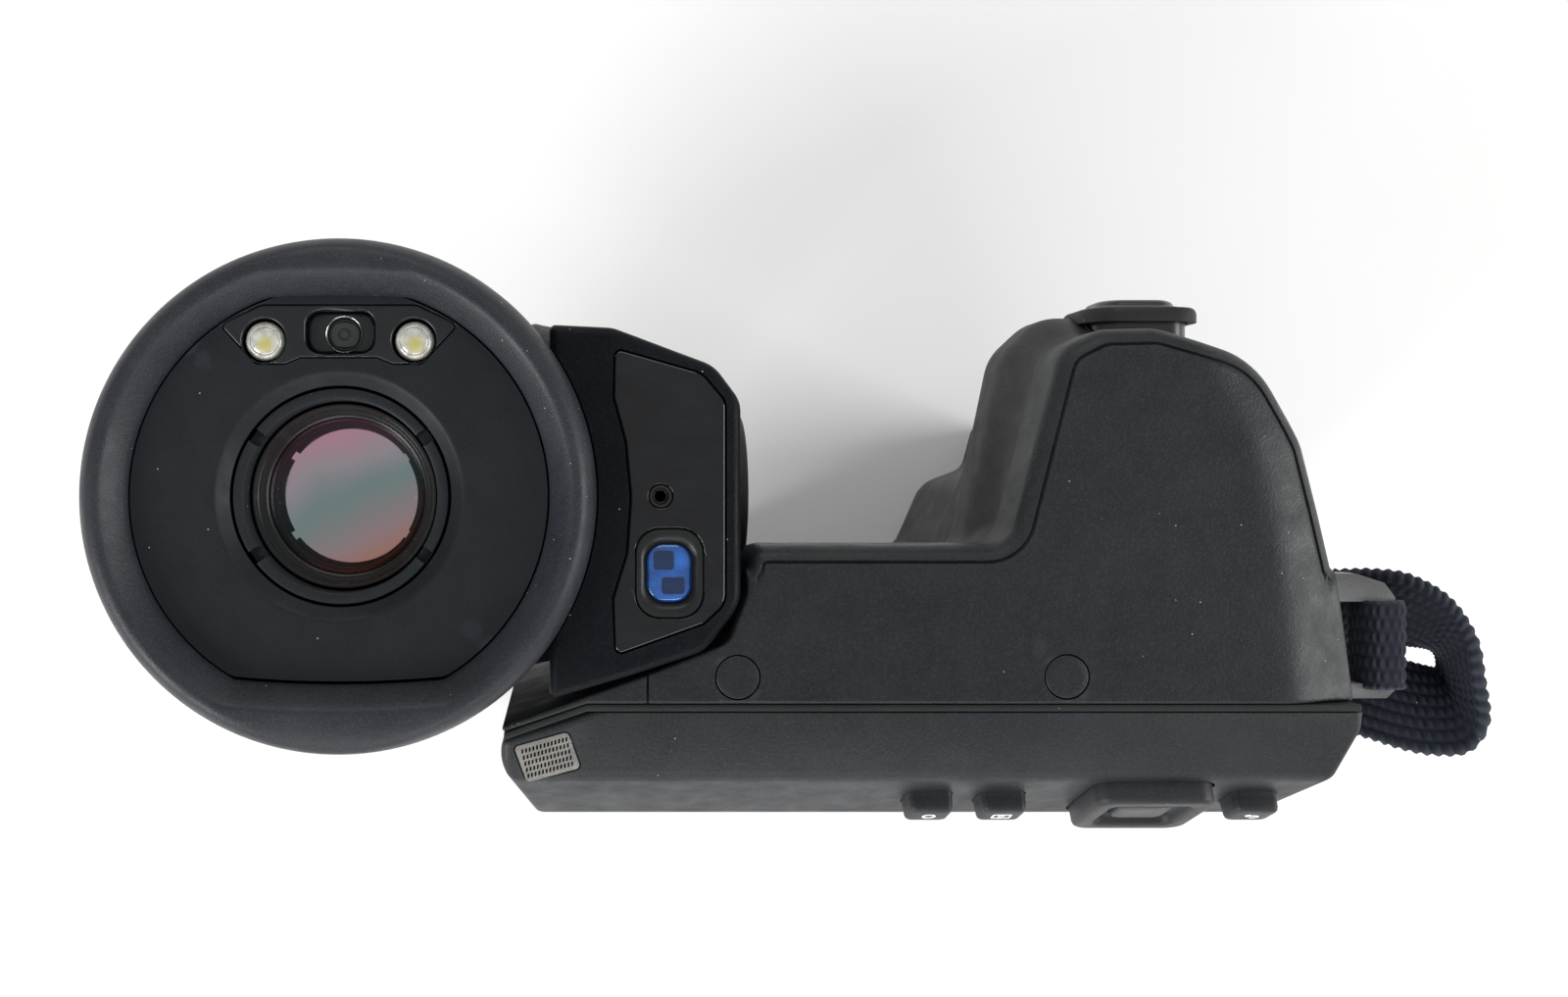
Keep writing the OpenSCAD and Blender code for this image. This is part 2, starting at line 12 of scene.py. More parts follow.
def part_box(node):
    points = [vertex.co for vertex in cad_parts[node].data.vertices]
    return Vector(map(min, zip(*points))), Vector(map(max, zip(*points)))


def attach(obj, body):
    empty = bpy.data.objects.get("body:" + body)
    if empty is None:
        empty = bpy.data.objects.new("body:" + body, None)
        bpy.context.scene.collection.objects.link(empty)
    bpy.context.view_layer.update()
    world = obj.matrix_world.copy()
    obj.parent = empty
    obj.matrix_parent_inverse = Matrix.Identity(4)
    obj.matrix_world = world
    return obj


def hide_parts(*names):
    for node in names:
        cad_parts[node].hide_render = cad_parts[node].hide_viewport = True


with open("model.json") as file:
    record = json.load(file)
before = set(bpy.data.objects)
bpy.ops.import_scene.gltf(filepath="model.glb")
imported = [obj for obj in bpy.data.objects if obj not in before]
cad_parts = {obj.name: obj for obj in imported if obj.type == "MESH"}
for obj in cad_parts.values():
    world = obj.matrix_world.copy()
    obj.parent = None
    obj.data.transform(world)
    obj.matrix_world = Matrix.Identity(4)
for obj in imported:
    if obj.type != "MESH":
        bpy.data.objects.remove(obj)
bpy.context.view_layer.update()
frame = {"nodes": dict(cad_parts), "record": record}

# The looks of the thermal camera. Sizes are millimetres in the part's own frame: +X towards the
# grip, +Y towards the scene in use, +Z up, and MM turns them into Blender's metres.
MM = 0.001


def corners_mm(node):
    """Lowest and highest corner of a CAD node, in millimetres."""
    low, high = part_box(node)
    return low / MM, high / MM


# Driving sizes, taken from the frame where a node gives them
ring_low, ring_high = corners_mm("front_ring")
plate_low, plate_high = corners_mm("face_plate")
cover_low, cover_high = corners_mm("front_cover")
housing_low, housing_high = corners_mm("display_housing")
_, wing_high = corners_mm("laser_wing")
LENS = Vector(((ring_low.x + ring_high.x) / 2, (ring_low.y + ring_high.y) / 2, 0))
RING_R = (ring_high.x - ring_low.x) / 2
RING_TOP = ring_high.z
RING_BASE = ring_low.z
PLATE_Z = plate_high.z
PLATE_R = (plate_high.x - plate_low.x) / 2
PLATE_CHORD = LENS.y - plate_low.y
WING_TOP = wing_high.z
HUB_RIGHT = wing_high.x
BODY_TOP = cover_high.z
COVER_Z = cover_low.z
EAR_LEFT = -31.6
PIVOT_Z = 100
BARREL_R = 36
SEAM_FRONT = -3.5
SEAM_REAR = housing_high.y
DISPLAY_Y = housing_low.y
STRIP_TOP = Vector((0, -16.5, 135))
STRIP_TILT = math.radians(27)
STRIP_W = 22
KEY_H = 3.3
PLUG_R = 3.55

# Outlines in plan, as (x, y, corner radius). The tail is shared: the tongue below the wing and the seam.
TONGUE = [(-70.5, -7, 0.5), (-47.9, 1, 0.4), (-34.3, 6.3, 4), (EAR_LEFT, 14, 3)]
TAIL = [(63.6, 18, 0.4), (66.7, SEAM_FRONT, 0.4), (-57, SEAM_FRONT, 0.4), (-70.5, -8, 0.4)]
COVER = TONGUE + [
    (EAR_LEFT, 21.6, 3.2), (10.5, 21.6, 5), (18.5, 53, 6), (25, 56.2, 6), (34, 56.4, 8),
    (51, 51.5, 14), (58.6, 38, 10),
] + TAIL
GRIP = TONGUE + [
    (EAR_LEFT, 19, 2), (8, 19, 5), (15.3, 54, 9), (22, 60.2, 7), (40, 60.4, 8),
    (51.5, 53, 12), (58.6, 38, 10),
] + TAIL
PALM = TONGUE + [
    (EAR_LEFT, 18, 2), (14, 18, 4), (24.5, 52, 8), (31, 58.5, 7), (41, 59.5, 8),
    (51.5, 52, 12), (58.6, 38, 10),
] + TAIL
WAIST = TONGUE + [
    (EAR_LEFT, 17.5, 2), (13.4, 17.5, 3), (20, 31.5, 6), (29.5, 35, 5), (34.5, 52, 7),
    (44, 53, 8), (59.5, 32, 8),
] + TAIL
SHIN = TONGUE + [
    (EAR_LEFT, 16.5, 2), (18.4, 16.5, 3), (24.5, 30.5, 6), (34.5, 34.8, 5), (37.5, 46.5, 6),
    (46, 48, 8), (59, 33, 8),
] + TAIL
FOOT = TONGUE + [
    (EAR_LEFT, 15.6, 2), (23.4, 15.6, 3), (29.5, 30, 6), (41.5, 36, 5), (44.5, 45.5, 3.4),
    (51, 45, 6), (58.5, 34, 8),
] + TAIL
HOUSING = [
    (-57, SEAM_REAR), (67.2, SEAM_REAR), (67.5, -8), (63.6, -19), (61, DISPLAY_Y),
    (-65.6, DISPLAY_Y), (-71, -13.5), (-70.8, -9.7),
]
SEAL = [
    (-57, SEAM_FRONT - 0.16, 0.3), (66.4, SEAM_FRONT - 0.16, 0.3), (66.5, SEAM_REAR + 0.16, 0.3),
    (-57, SEAM_REAR + 0.16, 0.3), (-70.3, -9.4, 0.3), (-70.3, -8.2, 0.3),
]
WING = [
    (-63, 56.6, 1), (-53, 56.1, 6), (-37, 50.1, 6), (HUB_RIGHT, 44.5, 5), (HUB_RIGHT, 12.5, 7),
    (-38.5, 5, 6), (-50.7, 1, 1), (-63, -2.6, 1),
]
LASER_GLASS = [
    (-52.9, 53, 1.2), (-38.9, 49, 4), (-35.1, 44.5, 3), (-35.1, 12.5, 4), (-38.6, 9.3, 2),
    (-52.8, 4.2, 1.2), (-53.2, 13.5, 2), (-51, 20.5, 6), (-50.4, 29.5, 8), (-51.2, 38, 6), (-53.1, 45, 3),
]
LAMPS = [
    (-18.4, 26.6, 0.8), (-12.9, 20.5, 1.6), (-8.3, 20.5, 1), (-5.9, 21.5, 1), (5.9, 21.5, 1),
    (8.3, 20.5, 1), (12.9, 20.5, 1.6), (18.4, 26.6, 0.8), (12, 29.6, 3), (-12, 29.6, 3),
]
SCREWS = [(-33.1, 0.7), (19.2, 0.8)]
LAMP_PLACES = [(-11.6, 24.1), (11.6, 24.1)]
EYE = (0.6, 25.2)
EMITTER = (-45.5, LENS.y)
RECEIVER = (-44.1, 17.4)
CREASE = [(38.5, 58), (43.6, 49), (49.5, 38.5), (52.8, 25.5), (54.8, 12.2), (56, -0.8), (56.4, -6)]

# The hand strap's route, as place and half-width vector, the same as the CAD strap's
STRAP = [
    ((75, 8, 112), (0, 8.3, 3)), ((80, 9, 113.5), (0, 7.5, 4.6)), ((85, 9, 115), (0, 6.6, 6)),
    ((91.3, 7, 114.5), (-0.3, 4.6, 7.6)), ((96, 3.4, 113.5), (-1, 1.6, 8.6)),
    ((98, -1, 113), (-1.4, -1.5, 8.5)), ((98.6, -6, 112.8), (-0.6, -4, 7.8)),
    ((96.7, -8.5, 112.3), (0, -6.6, 6)), ((92.6, -8.6, 111), (0, -7.8, 4)),
    ((88.7, -7.6, 109), (0, -8.4, 2.5)), ((84.6, -6, 105), (0, -8.7, 1.2)), ((81.2, -5.2, 98),
                                                                             (0, -8.8, 0)),
    ((80, -4.5, 86), (0, -8.8, 0)), ((80.5, -3, 66), (0, -8.8, 0)), ((80, -1.5, 46), (0, -8.8, 0)),
    ((78.6, 0, 31), (0, -8.8, 0)), ((76.5, 0, 20), (0, -8.8, 0)),
]


# ---------------------------------------------------------------- plane geometry

def rounded(corners, steps=8):
    """The outline's points, with each corner turned into an arc of its radius."""
    points = []
    for i, (x, y, r) in enumerate(corners):
        q = Vector((x, y))
        p = Vector(corners[i - 1][:2])
        s = Vector(corners[(i + 1) % len(corners)][:2])
        u, v = (p - q).normalized(), (s - q).normalized()
        half = u.angle(v) / 2
        t = min(r / math.tan(half), 0.48 * (p - q).length, 0.48 * (s - q).length)
        r = t * math.tan(half)
        c = q + (u + v).normalized() * (r / math.sin(half))
        a, b = q + u * t - c, q + v * t - c
        start = math.atan2(a.y, a.x)
        sweep = (math.atan2(b.y, b.x) - start + math.pi) % (2 * math.pi) - math.pi
        for k in range(steps + 1):
            angle = start + sweep * k / steps
            points.append((c.x + r * math.cos(angle), c.y + r * math.sin(angle)))
    return points


def dense(points, step, closed=True):
    """The same line with no stretch longer than step."""
    out = []
    pairs = list(zip(points, points[1:] + points[:1])) if closed else list(zip(points, points[1:]))
    for (ax, ay), (bx, by) in pairs:
        n = max(1, math.ceil(math.hypot(bx - ax, by - ay) / step))
        out += [(ax + (bx - ax) * k / n, ay + (by - ay) * k / n) for k in range(n)]
    return out if closed else out + [points[-1]]


def circle(cx, cy, r, n=48):
    """A circle's points."""
    return [(cx + r * math.cos(2 * math.pi * k / n), cy + r * math.sin(2 * math.pi * k / n))
            for k in range(n)]


def box2(w, d, r, cx=0, cy=0, steps=6):
    """A rounded rectangle's points."""
    w, d = w / 2, d / 2
    return rounded([(cx - w, cy - d, r), (cx + w, cy - d, r), (cx + w, cy + d, r), (cx - w, cy + d, r)],
                   steps)


def distance(x, y, line, closed=False):
    """How far each point (x, y) is from a line of points."""
    a = np.array(line + line[:1] if closed else line, float)
    p, d = a[:-1], a[1:] - a[:-1]
    best = np.full(len(x), 1e9)
    for (px, py), (dx, dy) in zip(p, d):
        t = np.clip(((x - px) * dx + (y - py) * dy) / max(dx * dx + dy * dy, 1e-12), 0, 1)
        best = np.minimum(best, np.hypot(x - px - t * dx, y - py - t * dy))
    return best


def inside(x, y, loop):
    """True for each point that lies in the loop."""
    hit = np.zeros(len(x), bool)
    for (ax, ay), (bx, by) in zip(loop, loop[1:] + loop[:1]):
        if ay != by:
            hit ^= ((ay > y) != (by > y)) & (x < (bx - ax) * (y - ay) / (by - ay) + ax)
    return hit


def rim(d, r):
    """The drop of a rounded edge of radius r, at distance d from it."""
    k = np.clip(1 - d / r, 0, 1)
    return r * (1 - np.sqrt(1 - k * k * 0.999))


def groove(d, half, depth):
    """The drop of a narrow groove at distance d from its middle."""
    return depth * np.sqrt(np.clip(1 - (d / half) ** 2, 0, 1))


# ---------------------------------------------------------------- meshes

def add_piece(name, shape, body, slot, stands_for=(), sharp=38):
    """Links a bmesh in millimetres, or a mesh, as a piece that rides on a body, in a slot's material."""
    mesh_data = to_mesh(shape, name) if isinstance(shape, bmesh.types.BMesh) else shape
    piece = bpy.data.objects.new(name, mesh_data)
    bpy.context.scene.collection.objects.link(piece)
    mesh_data.materials.clear()
    mesh_data.materials.append(PAINTS[slot])
    mesh_data.shade_smooth()
    mesh_data.set_sharp_from_angle(angle=math.radians(sharp))
    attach(piece, body)
    if stands_for:
        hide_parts(*stands_for)


def to_mesh(bm, name):
    """A mesh in metres from a bmesh in millimetres, with its faces turned outwards."""
    bmesh.ops.remove_doubles(bm, verts=bm.verts, dist=1e-4)
    bmesh.ops.recalc_face_normals(bm, faces=bm.faces)
    bmesh.ops.scale(bm, vec=(MM, MM, MM), verts=bm.verts)
    made = bpy.data.meshes.new(name)
    bm.to_mesh(made)
    bm.free()
    return made


def from_lists(verts, faces):
    """A bmesh from lists of points and faces."""
    bm = bmesh.new()
    made = [bm.verts.new(v) for v in verts]
    for f in faces:
        try:
            bm.faces.new([made[i] for i in f])
        except ValueError:
            pass
    return bm


def relief(loops, base, height, step=1.6, rows=(), extra=()):
    """A closed solid from z = base up to height(x, y), inside loops[0] and outside the others."""
    points = [p for loop in loops for p in loop]
    edges = []
    start = 0
    for loop in loops:
        edges += [(start + i, start + (i + 1) % len(loop)) for i in range(len(loop))]
        start += len(loop)
    seeds, room = [], []
    for loop in loops:
        n = len(loop)
        for i in range(n):
            (ax, ay), (bx, by) = loop[i - 1], loop[(i + 1) % n]
            length = math.hypot(bx - ax, by - ay) or 1
            nx, ny = (by - ay) / length, (ax - bx) / length
            for d in rows:
                for side in (1, -1):
                    seeds.append((loop[i][0] + side * nx * d, loop[i][1] + side * ny * d))
                    room.append(0.9 * d)
    xs, ys = [p[0] for p in loops[0]], [p[1] for p in loops[0]]
    clear = (max(rows) if rows else 0) + 0.5 * step
    gx = np.arange(min(xs), max(xs), step)
    gy = np.arange(min(ys), max(ys), step * 0.87)
    for j, yy in enumerate(gy):
        for xx in gx:
            seeds.append((xx + (j % 2) * step / 2, yy))
            room.append(clear)
    for p in extra:
        seeds.append(p)
        room.append(0.04)
    sx, sy = np.array([p[0] for p in seeds]), np.array([p[1] for p in seeds])
    good = inside(sx, sy, loops[0])
    for loop in loops[1:]:
        good &= ~inside(sx, sy, loop)
    away = np.full(len(sx), 1e9)
    for loop in loops:
        away = np.minimum(away, distance(sx, sy, loop, True))
    good &= away >= np.array(room)
    chosen = [Vector(seeds[i]) for i in np.flatnonzero(good)]
    found, _, faces, _, _, _ = delaunay_2d_cdt([Vector(p) for p in points] + chosen, edges, [], 0, 1e-4)
    cx = np.array([sum(found[i].x for i in f) / len(f) for f in faces])
    cy = np.array([sum(found[i].y for i in f) / len(f) for f in faces])
    keep = inside(cx, cy, loops[0])
    for loop in loops[1:]:
        keep &= ~inside(cx, cy, loop)
    faces = [list(f) for f, k in zip(faces, keep) if k]
    vx, vy = np.array([v.x for v in found]), np.array([v.y for v in found])
    top = height(vx, vy)
    n = len(found)
    verts = [(vx[i], vy[i], top[i]) for i in range(n)] + [(vx[i], vy[i], base) for i in range(n)]
    uses = {}
    for f in faces:
        for a, b in zip(f, f[1:] + f[:1]):
            uses[(a, b)] = 1
    walls = [[b, a, a + n, b + n] for (a, b) in uses if (b, a) not in uses]
    bm = from_lists(verts, faces + [[i + n for i in reversed(f)] for f in faces] + walls)
    loose = [v for v in bm.verts if not v.link_faces]
    bmesh.ops.delete(bm, geom=loose, context="VERTS")
    return bm


def loft(rings, close_start=True, close_end=True):
    """A skin over rings of the same number of points, each a list of 3-D points."""
    n = len(rings[0])
    verts = [p for ring in rings for p in ring]
    faces = []
    for k in range(len(rings) - 1):
        for i in range(n):
            j = (i + 1) % n
            faces.append([k * n + i, k * n + j, (k + 1) * n + j, (k + 1) * n + i])
    bm = from_lists(verts, faces)
    bm.verts.ensure_lookup_table()
    if close_start:
        bm.faces.new([bm.verts[i] for i in range(n)])
    if close_end:
        bm.faces.new([bm.verts[(len(rings) - 1) * n + i] for i in range(n)])
    return bm


def stack(levels, steps=6, close_start=True, close_end=True):
    """A loft of rounded rectangles, from (width, depth, corner radius, height)."""
    rings = [[(x, y, h) for x, y in box2(w, d, r, steps=steps)] for w, d, r, h in levels]
    return loft(rings, close_start, close_end)


def lathe(profile, n=128, close_start=True, close_end=True):
    """A loft of circles from (radius, height)."""
    return loft([[(x, y, h) for x, y in circle(0, 0, r, n)] for r, h in profile], close_start, close_end)


def at(x, y, z, turn_x=0, turn_z=0):
    """A place in the part frame, in millimetres, turned about X and then about its own Z, in degrees."""
    return Matrix.Translation((x, y, z)) @ Matrix.Rotation(math.radians(turn_x), 4, "X") @ \
        Matrix.Rotation(math.radians(turn_z), 4, "Z")


def moved(bm, place):
    """The bmesh, put in place."""
    bmesh.ops.transform(bm, matrix=place, verts=bm.verts)
    return bm


def carve(piece_mesh, cutters, operation="DIFFERENCE"):
    """The mesh with closed bmeshes, in millimetres, cut out of it or joined to it."""
    base = bpy.data.objects.new("carve_base", piece_mesh)
    bpy.context.scene.collection.objects.link(base)
    tools = []
    for cutter in cutters:
        tool = bpy.data.objects.new("carve_tool", to_mesh(cutter, "carve_tool"))
        bpy.context.scene.collection.objects.link(tool)
        tools.append(tool)
        change = base.modifiers.new("carve", "BOOLEAN")
        change.operation = operation
        change.solver = "EXACT"
        change.object = tool
    graph = bpy.context.evaluated_depsgraph_get()
    graph.update()
    made = bpy.data.meshes.new_from_object(base.evaluated_get(graph))
    for tool in tools + [base]:
        bpy.data.objects.remove(tool)
    return made


def strip_place(x, up=0):
    """The frame of the button strip: Z out of it, Y up along it."""
    half = STRIP_W / 2
    centre = STRIP_TOP + Vector((x, -half * math.sin(STRIP_TILT), -half * math.cos(STRIP_TILT)))
    return Matrix.Translation(centre) @ Matrix.Rotation(math.pi / 2 - STRIP_TILT, 4, "X") @ \
        Matrix.Translation((0, up, 0))


def display_place(x, z):
    """The frame of the display face: Z out of it."""
    return at(x, DISPLAY_Y, z, 90)


def grip_place(x, z, y):
    """The frame of the grip's scene side: Z towards +Y."""
    return at(x, y, z, -90)


def pivot_place(x):
    """The frame of the tilt axis: Z towards +X."""
    return Matrix.Translation((x, LENS.y, PIVOT_Z)) @ Matrix.Rotation(math.pi / 2, 4, "Y")


def lens_place(z):
    """The frame of the optical axis."""
    return at(LENS.x, LENS.y, z)


GRILLE_PLACE = at(-63.4, -12.7, 136.36, 19.8, 17.6)
END_PLACE = at(-68.3, -20, 0, 0, 202.56)
SCREEN = (-4, 63)
GLASS = (92, 74)
POWER = (52, 14)
KEYS = {"p_button": 0.5, "gallery_button": 12.7, "back_button": 54.7}
NAV_X = 36.3
NAV_W = 19.6
TRIGGER = (37, 119)
FOCUS = (35, 98)


# ---------------------------------------------------------------- materials

class Paint:
    """A material's node tree, with short names for the nodes that it uses."""

    def __init__(self, name):
        self.made = bpy.data.materials.new(name)
        self.made.use_nodes = True
        self.tree = self.made.node_tree
        self.shader = self.tree.nodes["Principled BSDF"]
        self.place = self.tree.nodes.new("ShaderNodeTexCoord").outputs["Object"]

    def link(self, a, b):
        self.tree.links.new(a, b)

    def set(self, **values):
        """Sets the shader's own sockets: Roughness=0.4, Coat_Weight=1."""
        for key, value in values.items():
            self.shader.inputs[key.replace("_", " ")].default_value = value
        return self

    def noise(self, size, detail=2, rough=0.5, stretch=None):
        """Noise with features about size millimetres across."""
        node = self.tree.nodes.new("ShaderNodeTexNoise")
        node.inputs["Scale"].default_value = 1 / (size * MM)
        node.inputs["Detail"].default_value = detail
        node.inputs["Roughness"].default_value = rough
        self.link(self.stretched(stretch) if stretch else self.place, node.inputs["Vector"])
        return node.outputs["Fac"]

    def stretched(self, scale):
        node = self.tree.nodes.new("ShaderNodeMapping")
        node.inputs["Scale"].default_value = scale
        self.link(self.place, node.inputs["Vector"])
        return node.outputs["Vector"]

    def ramp(self, value, low, high, out_low=0.0, out_high=1.0):
        node = self.tree.nodes.new("ShaderNodeMapRange")
        node.inputs["From Min"].default_value = low
        node.inputs["From Max"].default_value = high
        node.inputs["To Min"].default_value = out_low
        node.inputs["To Max"].default_value = out_high
        self.link(value, node.inputs["Value"])
        return node.outputs["Result"]

    def math(self, kind, a, b):
        node = self.tree.nodes.new("ShaderNodeMath")
        node.operation = kind
        for socket, value in zip(node.inputs, (a, b)):
            if isinstance(value, (int, float)):
                socket.default_value = value
            else:
                self.link(value, socket)
        return node.outputs["Value"]

    def mix(self, share, a, b):
        node = self.tree.nodes.new("ShaderNodeMix")
        node.data_type = "RGBA"
        self.link(share, node.inputs["Factor"])
        for socket, value in ((node.inputs["A"], a), (node.inputs["B"], b)):
            if isinstance(value, tuple):
                socket.default_value = (*value, 1)
            else:
                self.link(value, socket)
        return node.outputs["Result"]

    def specks(self, cell, radius, share):
        """1 on round specks of that radius, in a share of the cells, in millimetres."""
        node = self.tree.nodes.new("ShaderNodeTexVoronoi")
        node.inputs["Scale"].default_value = 1 / (cell * MM)
        self.link(self.place, node.inputs["Vector"])
        split = self.tree.nodes.new("ShaderNodeSeparateColor")
        self.link(node.outputs["Color"], split.inputs["Color"])
        near = self.math("LESS_THAN", node.outputs["Distance"], radius / cell)
        chosen = self.math("LESS_THAN", split.outputs["Red"], share)
        return self.math("MULTIPLY", near, chosen)

    def wear_and_glint(self, low=0.52, high=0.62):
        """1 on convex edges: where handling polishes the surface, and on the webbing's weave crests, where
        it drives a painted glint.
        """
        node = self.tree.nodes.new("ShaderNodeNewGeometry")
        return self.ramp(node.outputs["Pointiness"], low, high)

    def bump(self, height, depth):
        """A bump of that height in millimetres, added to the ones before it."""
        node = self.tree.nodes.new("ShaderNodeBump")
        node.inputs["Strength"].default_value = 1
        node.inputs["Distance"].default_value = depth * MM
        self.link(height, node.inputs["Height"])
        before = self.shader.inputs["Normal"].links
        if before:
            self.link(before[0].from_socket, node.inputs["Normal"])
        self.link(node.outputs["Normal"], self.shader.inputs["Normal"])
        return self

    def colour(self, value):
        self.link(value, self.shader.inputs["Base Color"])
        return self

    def rough(self, value):
        self.link(value, self.shader.inputs["Roughness"])
        return self


DUST = (0.42, 0.41, 0.37)


def moulded(name, dark, light, rough, grain=0.42, depth=0.06, dust=0.05, gloss=0.3):
    """Fine-grained moulded plastic or rubber, with patchy wear, paler edges and a few specks of dust."""
    paint = Paint(name)
    patches = paint.ramp(paint.noise(14, 4, 0.6), 0.35, 0.68)
    base = paint.mix(patches, dark, light)
    grains = paint.noise(grain, 2, 0.6)
    base = paint.mix(paint.ramp(grains, 0.48, 0.72, 0, 0.55), base, tuple(2.2 * c for c in light))
    base = paint.mix(paint.ramp(paint.wear_and_glint(), 0, 1, 0, 0.6), base, tuple(2.6 * c for c in light))
    base = paint.mix(paint.math("MULTIPLY", paint.specks(1.3, 0.11, dust), 0.8), base, DUST)
    paint.colour(base)
    paint.rough(paint.ramp(paint.noise(5, 3, 0.6), 0.3, 0.7, rough - 0.07, rough + 0.07))
    paint.bump(grains, depth)
    paint.bump(paint.noise(0.9, 2, 0.5), depth * 0.6)
    return paint.set(Specular_IOR_Level=gloss).made


def glossy(name, dark, light, rough=0.06, coat=0.0, dust=0.03):
    """Smooth dark glass or acrylic, with faint smears and specks."""
    paint = Paint(name)
    smears = paint.ramp(paint.noise(9, 5, 0.65, (1, 2.2, 1)), 0.42, 0.7)
    base = paint.mix(smears, dark, light)
    base = paint.mix(paint.math("MULTIPLY", paint.specks(2.2, 0.11, dust), 0.6), base, DUST)
    paint.colour(base)
    paint.rough(paint.ramp(paint.noise(6, 4, 0.6), 0.35, 0.75, rough, rough + 0.1))
    paint.bump(paint.noise(7, 1, 0.4), 0.004)
    return paint.set(Specular_IOR_Level=0.5, Coat_Weight=coat, Coat_Roughness=0.04).made


def metal(name, dark, light, rough, brushed=(1, 1, 1), depth=0.01):
    """Bare metal with fine brushing and stains."""
    paint = Paint(name)
    lines = paint.noise(0.5, 3, 0.6, brushed)
    base = paint.mix(paint.ramp(paint.noise(4, 4, 0.6), 0.3, 0.7), dark, light)
    base = paint.mix(paint.ramp(lines, 0.45, 0.75, 0, 0.25), base, tuple(0.6 * c for c in dark))
    paint.colour(base)
    paint.rough(paint.ramp(lines, 0.3, 0.7, rough - 0.06, rough + 0.1))
    paint.bump(lines, depth)
    return paint.set(Metallic=1.0).made


def circuit(name):
    """A green board with paler tracks."""
    paint = Paint(name)
    brick = paint.tree.nodes.new("ShaderNodeTexBrick")
    brick.inputs["Scale"].default_value = 300
    brick.inputs["Mortar Size"].default_value = 0.03
    brick.inputs["Color1"].default_value = (0.01, 0.09, 0.04, 1)
    brick.inputs["Color2"].default_value = (0.012, 0.13, 0.06, 1)
    brick.inputs["Mortar"].default_value = (0.05, 0.28, 0.12, 1)
    paint.link(paint.place, brick.inputs["Vector"])
    paint.colour(brick.outputs["Color"])
    paint.rough(paint.ramp(paint.noise(2), 0.3, 0.7, 0.3, 0.5))
    paint.bump(brick.outputs["Fac"], 0.02)
    return paint.made


def webbing(name):
    """Black nylon yarn: fine fibres over the ribs that the geometry has, a painted glint on the crests of
    the weave, and pale lint.
    """
    paint = Paint(name)
    fibres = paint.noise(0.16, 3, 0.7)
    base = paint.mix(paint.ramp(fibres, 0.35, 0.75), (0.003, 0.0045, 0.010), (0.020, 0.026, 0.042))
    base = paint.mix(paint.ramp(paint.noise(6, 3), 0.4, 0.7, 0, 0.5), base, (0.010, 0.013, 0.022))
    # Painted glint: a paler blue-grey on the weave's crests, where pointiness is high, stands in for light
    # catching them.
    base = paint.mix(paint.ramp(paint.wear_and_glint(0.52, 0.62), 0, 1, 0, 0.85), base, (0.06, 0.068, 0.088))
    base = paint.mix(paint.math("MULTIPLY", paint.specks(1.5, 0.16, 0.06), 0.6), base, (0.3, 0.3, 0.29))
    paint.colour(base)
    paint.rough(paint.ramp(fibres, 0.3, 0.7, 0.6, 0.85))
    paint.bump(fibres, 0.06)
    return paint.set(Sheen_Weight=0.08, Sheen_Roughness=0.4, Specular_IOR_Level=0.25).made


def coated_lens_with_painted_reflection(name):
    """Germanium under an infrared coating: bands of pink and orange at the rim and grey-teal in the middle,
    partly the coating's own tint and partly a painted reflection of the room.
    """
    paint = Paint(name)
    split = paint.tree.nodes.new("ShaderNodeSeparateXYZ")
    paint.link(paint.place, split.inputs["Vector"])
    x = paint.math("DIVIDE", paint.math("SUBTRACT", split.outputs["X"], LENS.x * MM), 0.0125)
    y = paint.math("DIVIDE", paint.math("SUBTRACT", split.outputs["Y"], LENS.y * MM), 0.0125)
    # Colour bands along a slant across the lens: partly the coating's own tint, partly a painted reflection
    # of the room, pink towards +Y, grey-teal in the middle, orange towards -Y.
    swirl = paint.ramp(paint.noise(14, 1, 0.4), 0.3, 0.7, -0.16, 0.16)
    slant = paint.math("ADD", paint.math("ADD", paint.math("MULTIPLY", x, -0.35), y), swirl)
    base = paint.mix(paint.ramp(slant, -1.0, -0.55), (0.66, 0.27, 0.17), (0.50, 0.36, 0.38))
    base = paint.mix(paint.ramp(slant, -0.55, -0.1), base, (0.30, 0.40, 0.40))
    base = paint.mix(paint.ramp(slant, 0.0, 0.45), base, (0.52, 0.46, 0.52))
    base = paint.mix(paint.ramp(slant, 0.45, 0.95), base, (0.72, 0.40, 0.52))
    base = paint.mix(paint.math("MULTIPLY", paint.specks(1.8, 0.1, 0.06), 0.7), base, (0.8, 0.8, 0.78))
    paint.colour(base)
    paint.rough(paint.ramp(paint.noise(5, 4), 0.4, 0.8, 0.035, 0.12))
    return paint.set(Metallic=1.0, Coat_Weight=0.4, Coat_Roughness=0.02).made


def lamp_dome(name):
    """A milky moulded lens over a lamp, with the yellow chip showing through it."""
    paint = Paint(name)
    rings = paint.noise(1.3, 2, 0.5)
    base = paint.mix(paint.ramp(rings, 0.35, 0.65), (0.40, 0.40, 0.36), (0.56, 0.56, 0.52))
    split = paint.tree.nodes.new("ShaderNodeSeparateXYZ")
    paint.link(paint.place, split.inputs["Vector"])
    for cx, cy in LAMP_PLACES:
        x = paint.math("SUBTRACT", split.outputs["X"], (LENS.x + cx + 0.2) * MM)
        y = paint.math("SUBTRACT", split.outputs["Y"], (LENS.y + cy - 0.6) * MM)
        far = paint.math("SQRT", paint.math("ADD", paint.math("MULTIPLY", x, x),
                                            paint.math("MULTIPLY", y, y)), 0)
        base = paint.mix(paint.ramp(far, 0.0006, 0.0017, 0.8, 0), base, (0.42, 0.38, 0.06))
    paint.colour(base)
    paint.rough(paint.ramp(rings, 0.3, 0.7, 0.1, 0.25))
    paint.bump(rings, 0.03)
    return paint.set(Subsurface_Weight=0.2, Subsurface_Scale=0.001, Coat_Weight=0.5,
                     Coat_Roughness=0.08).made


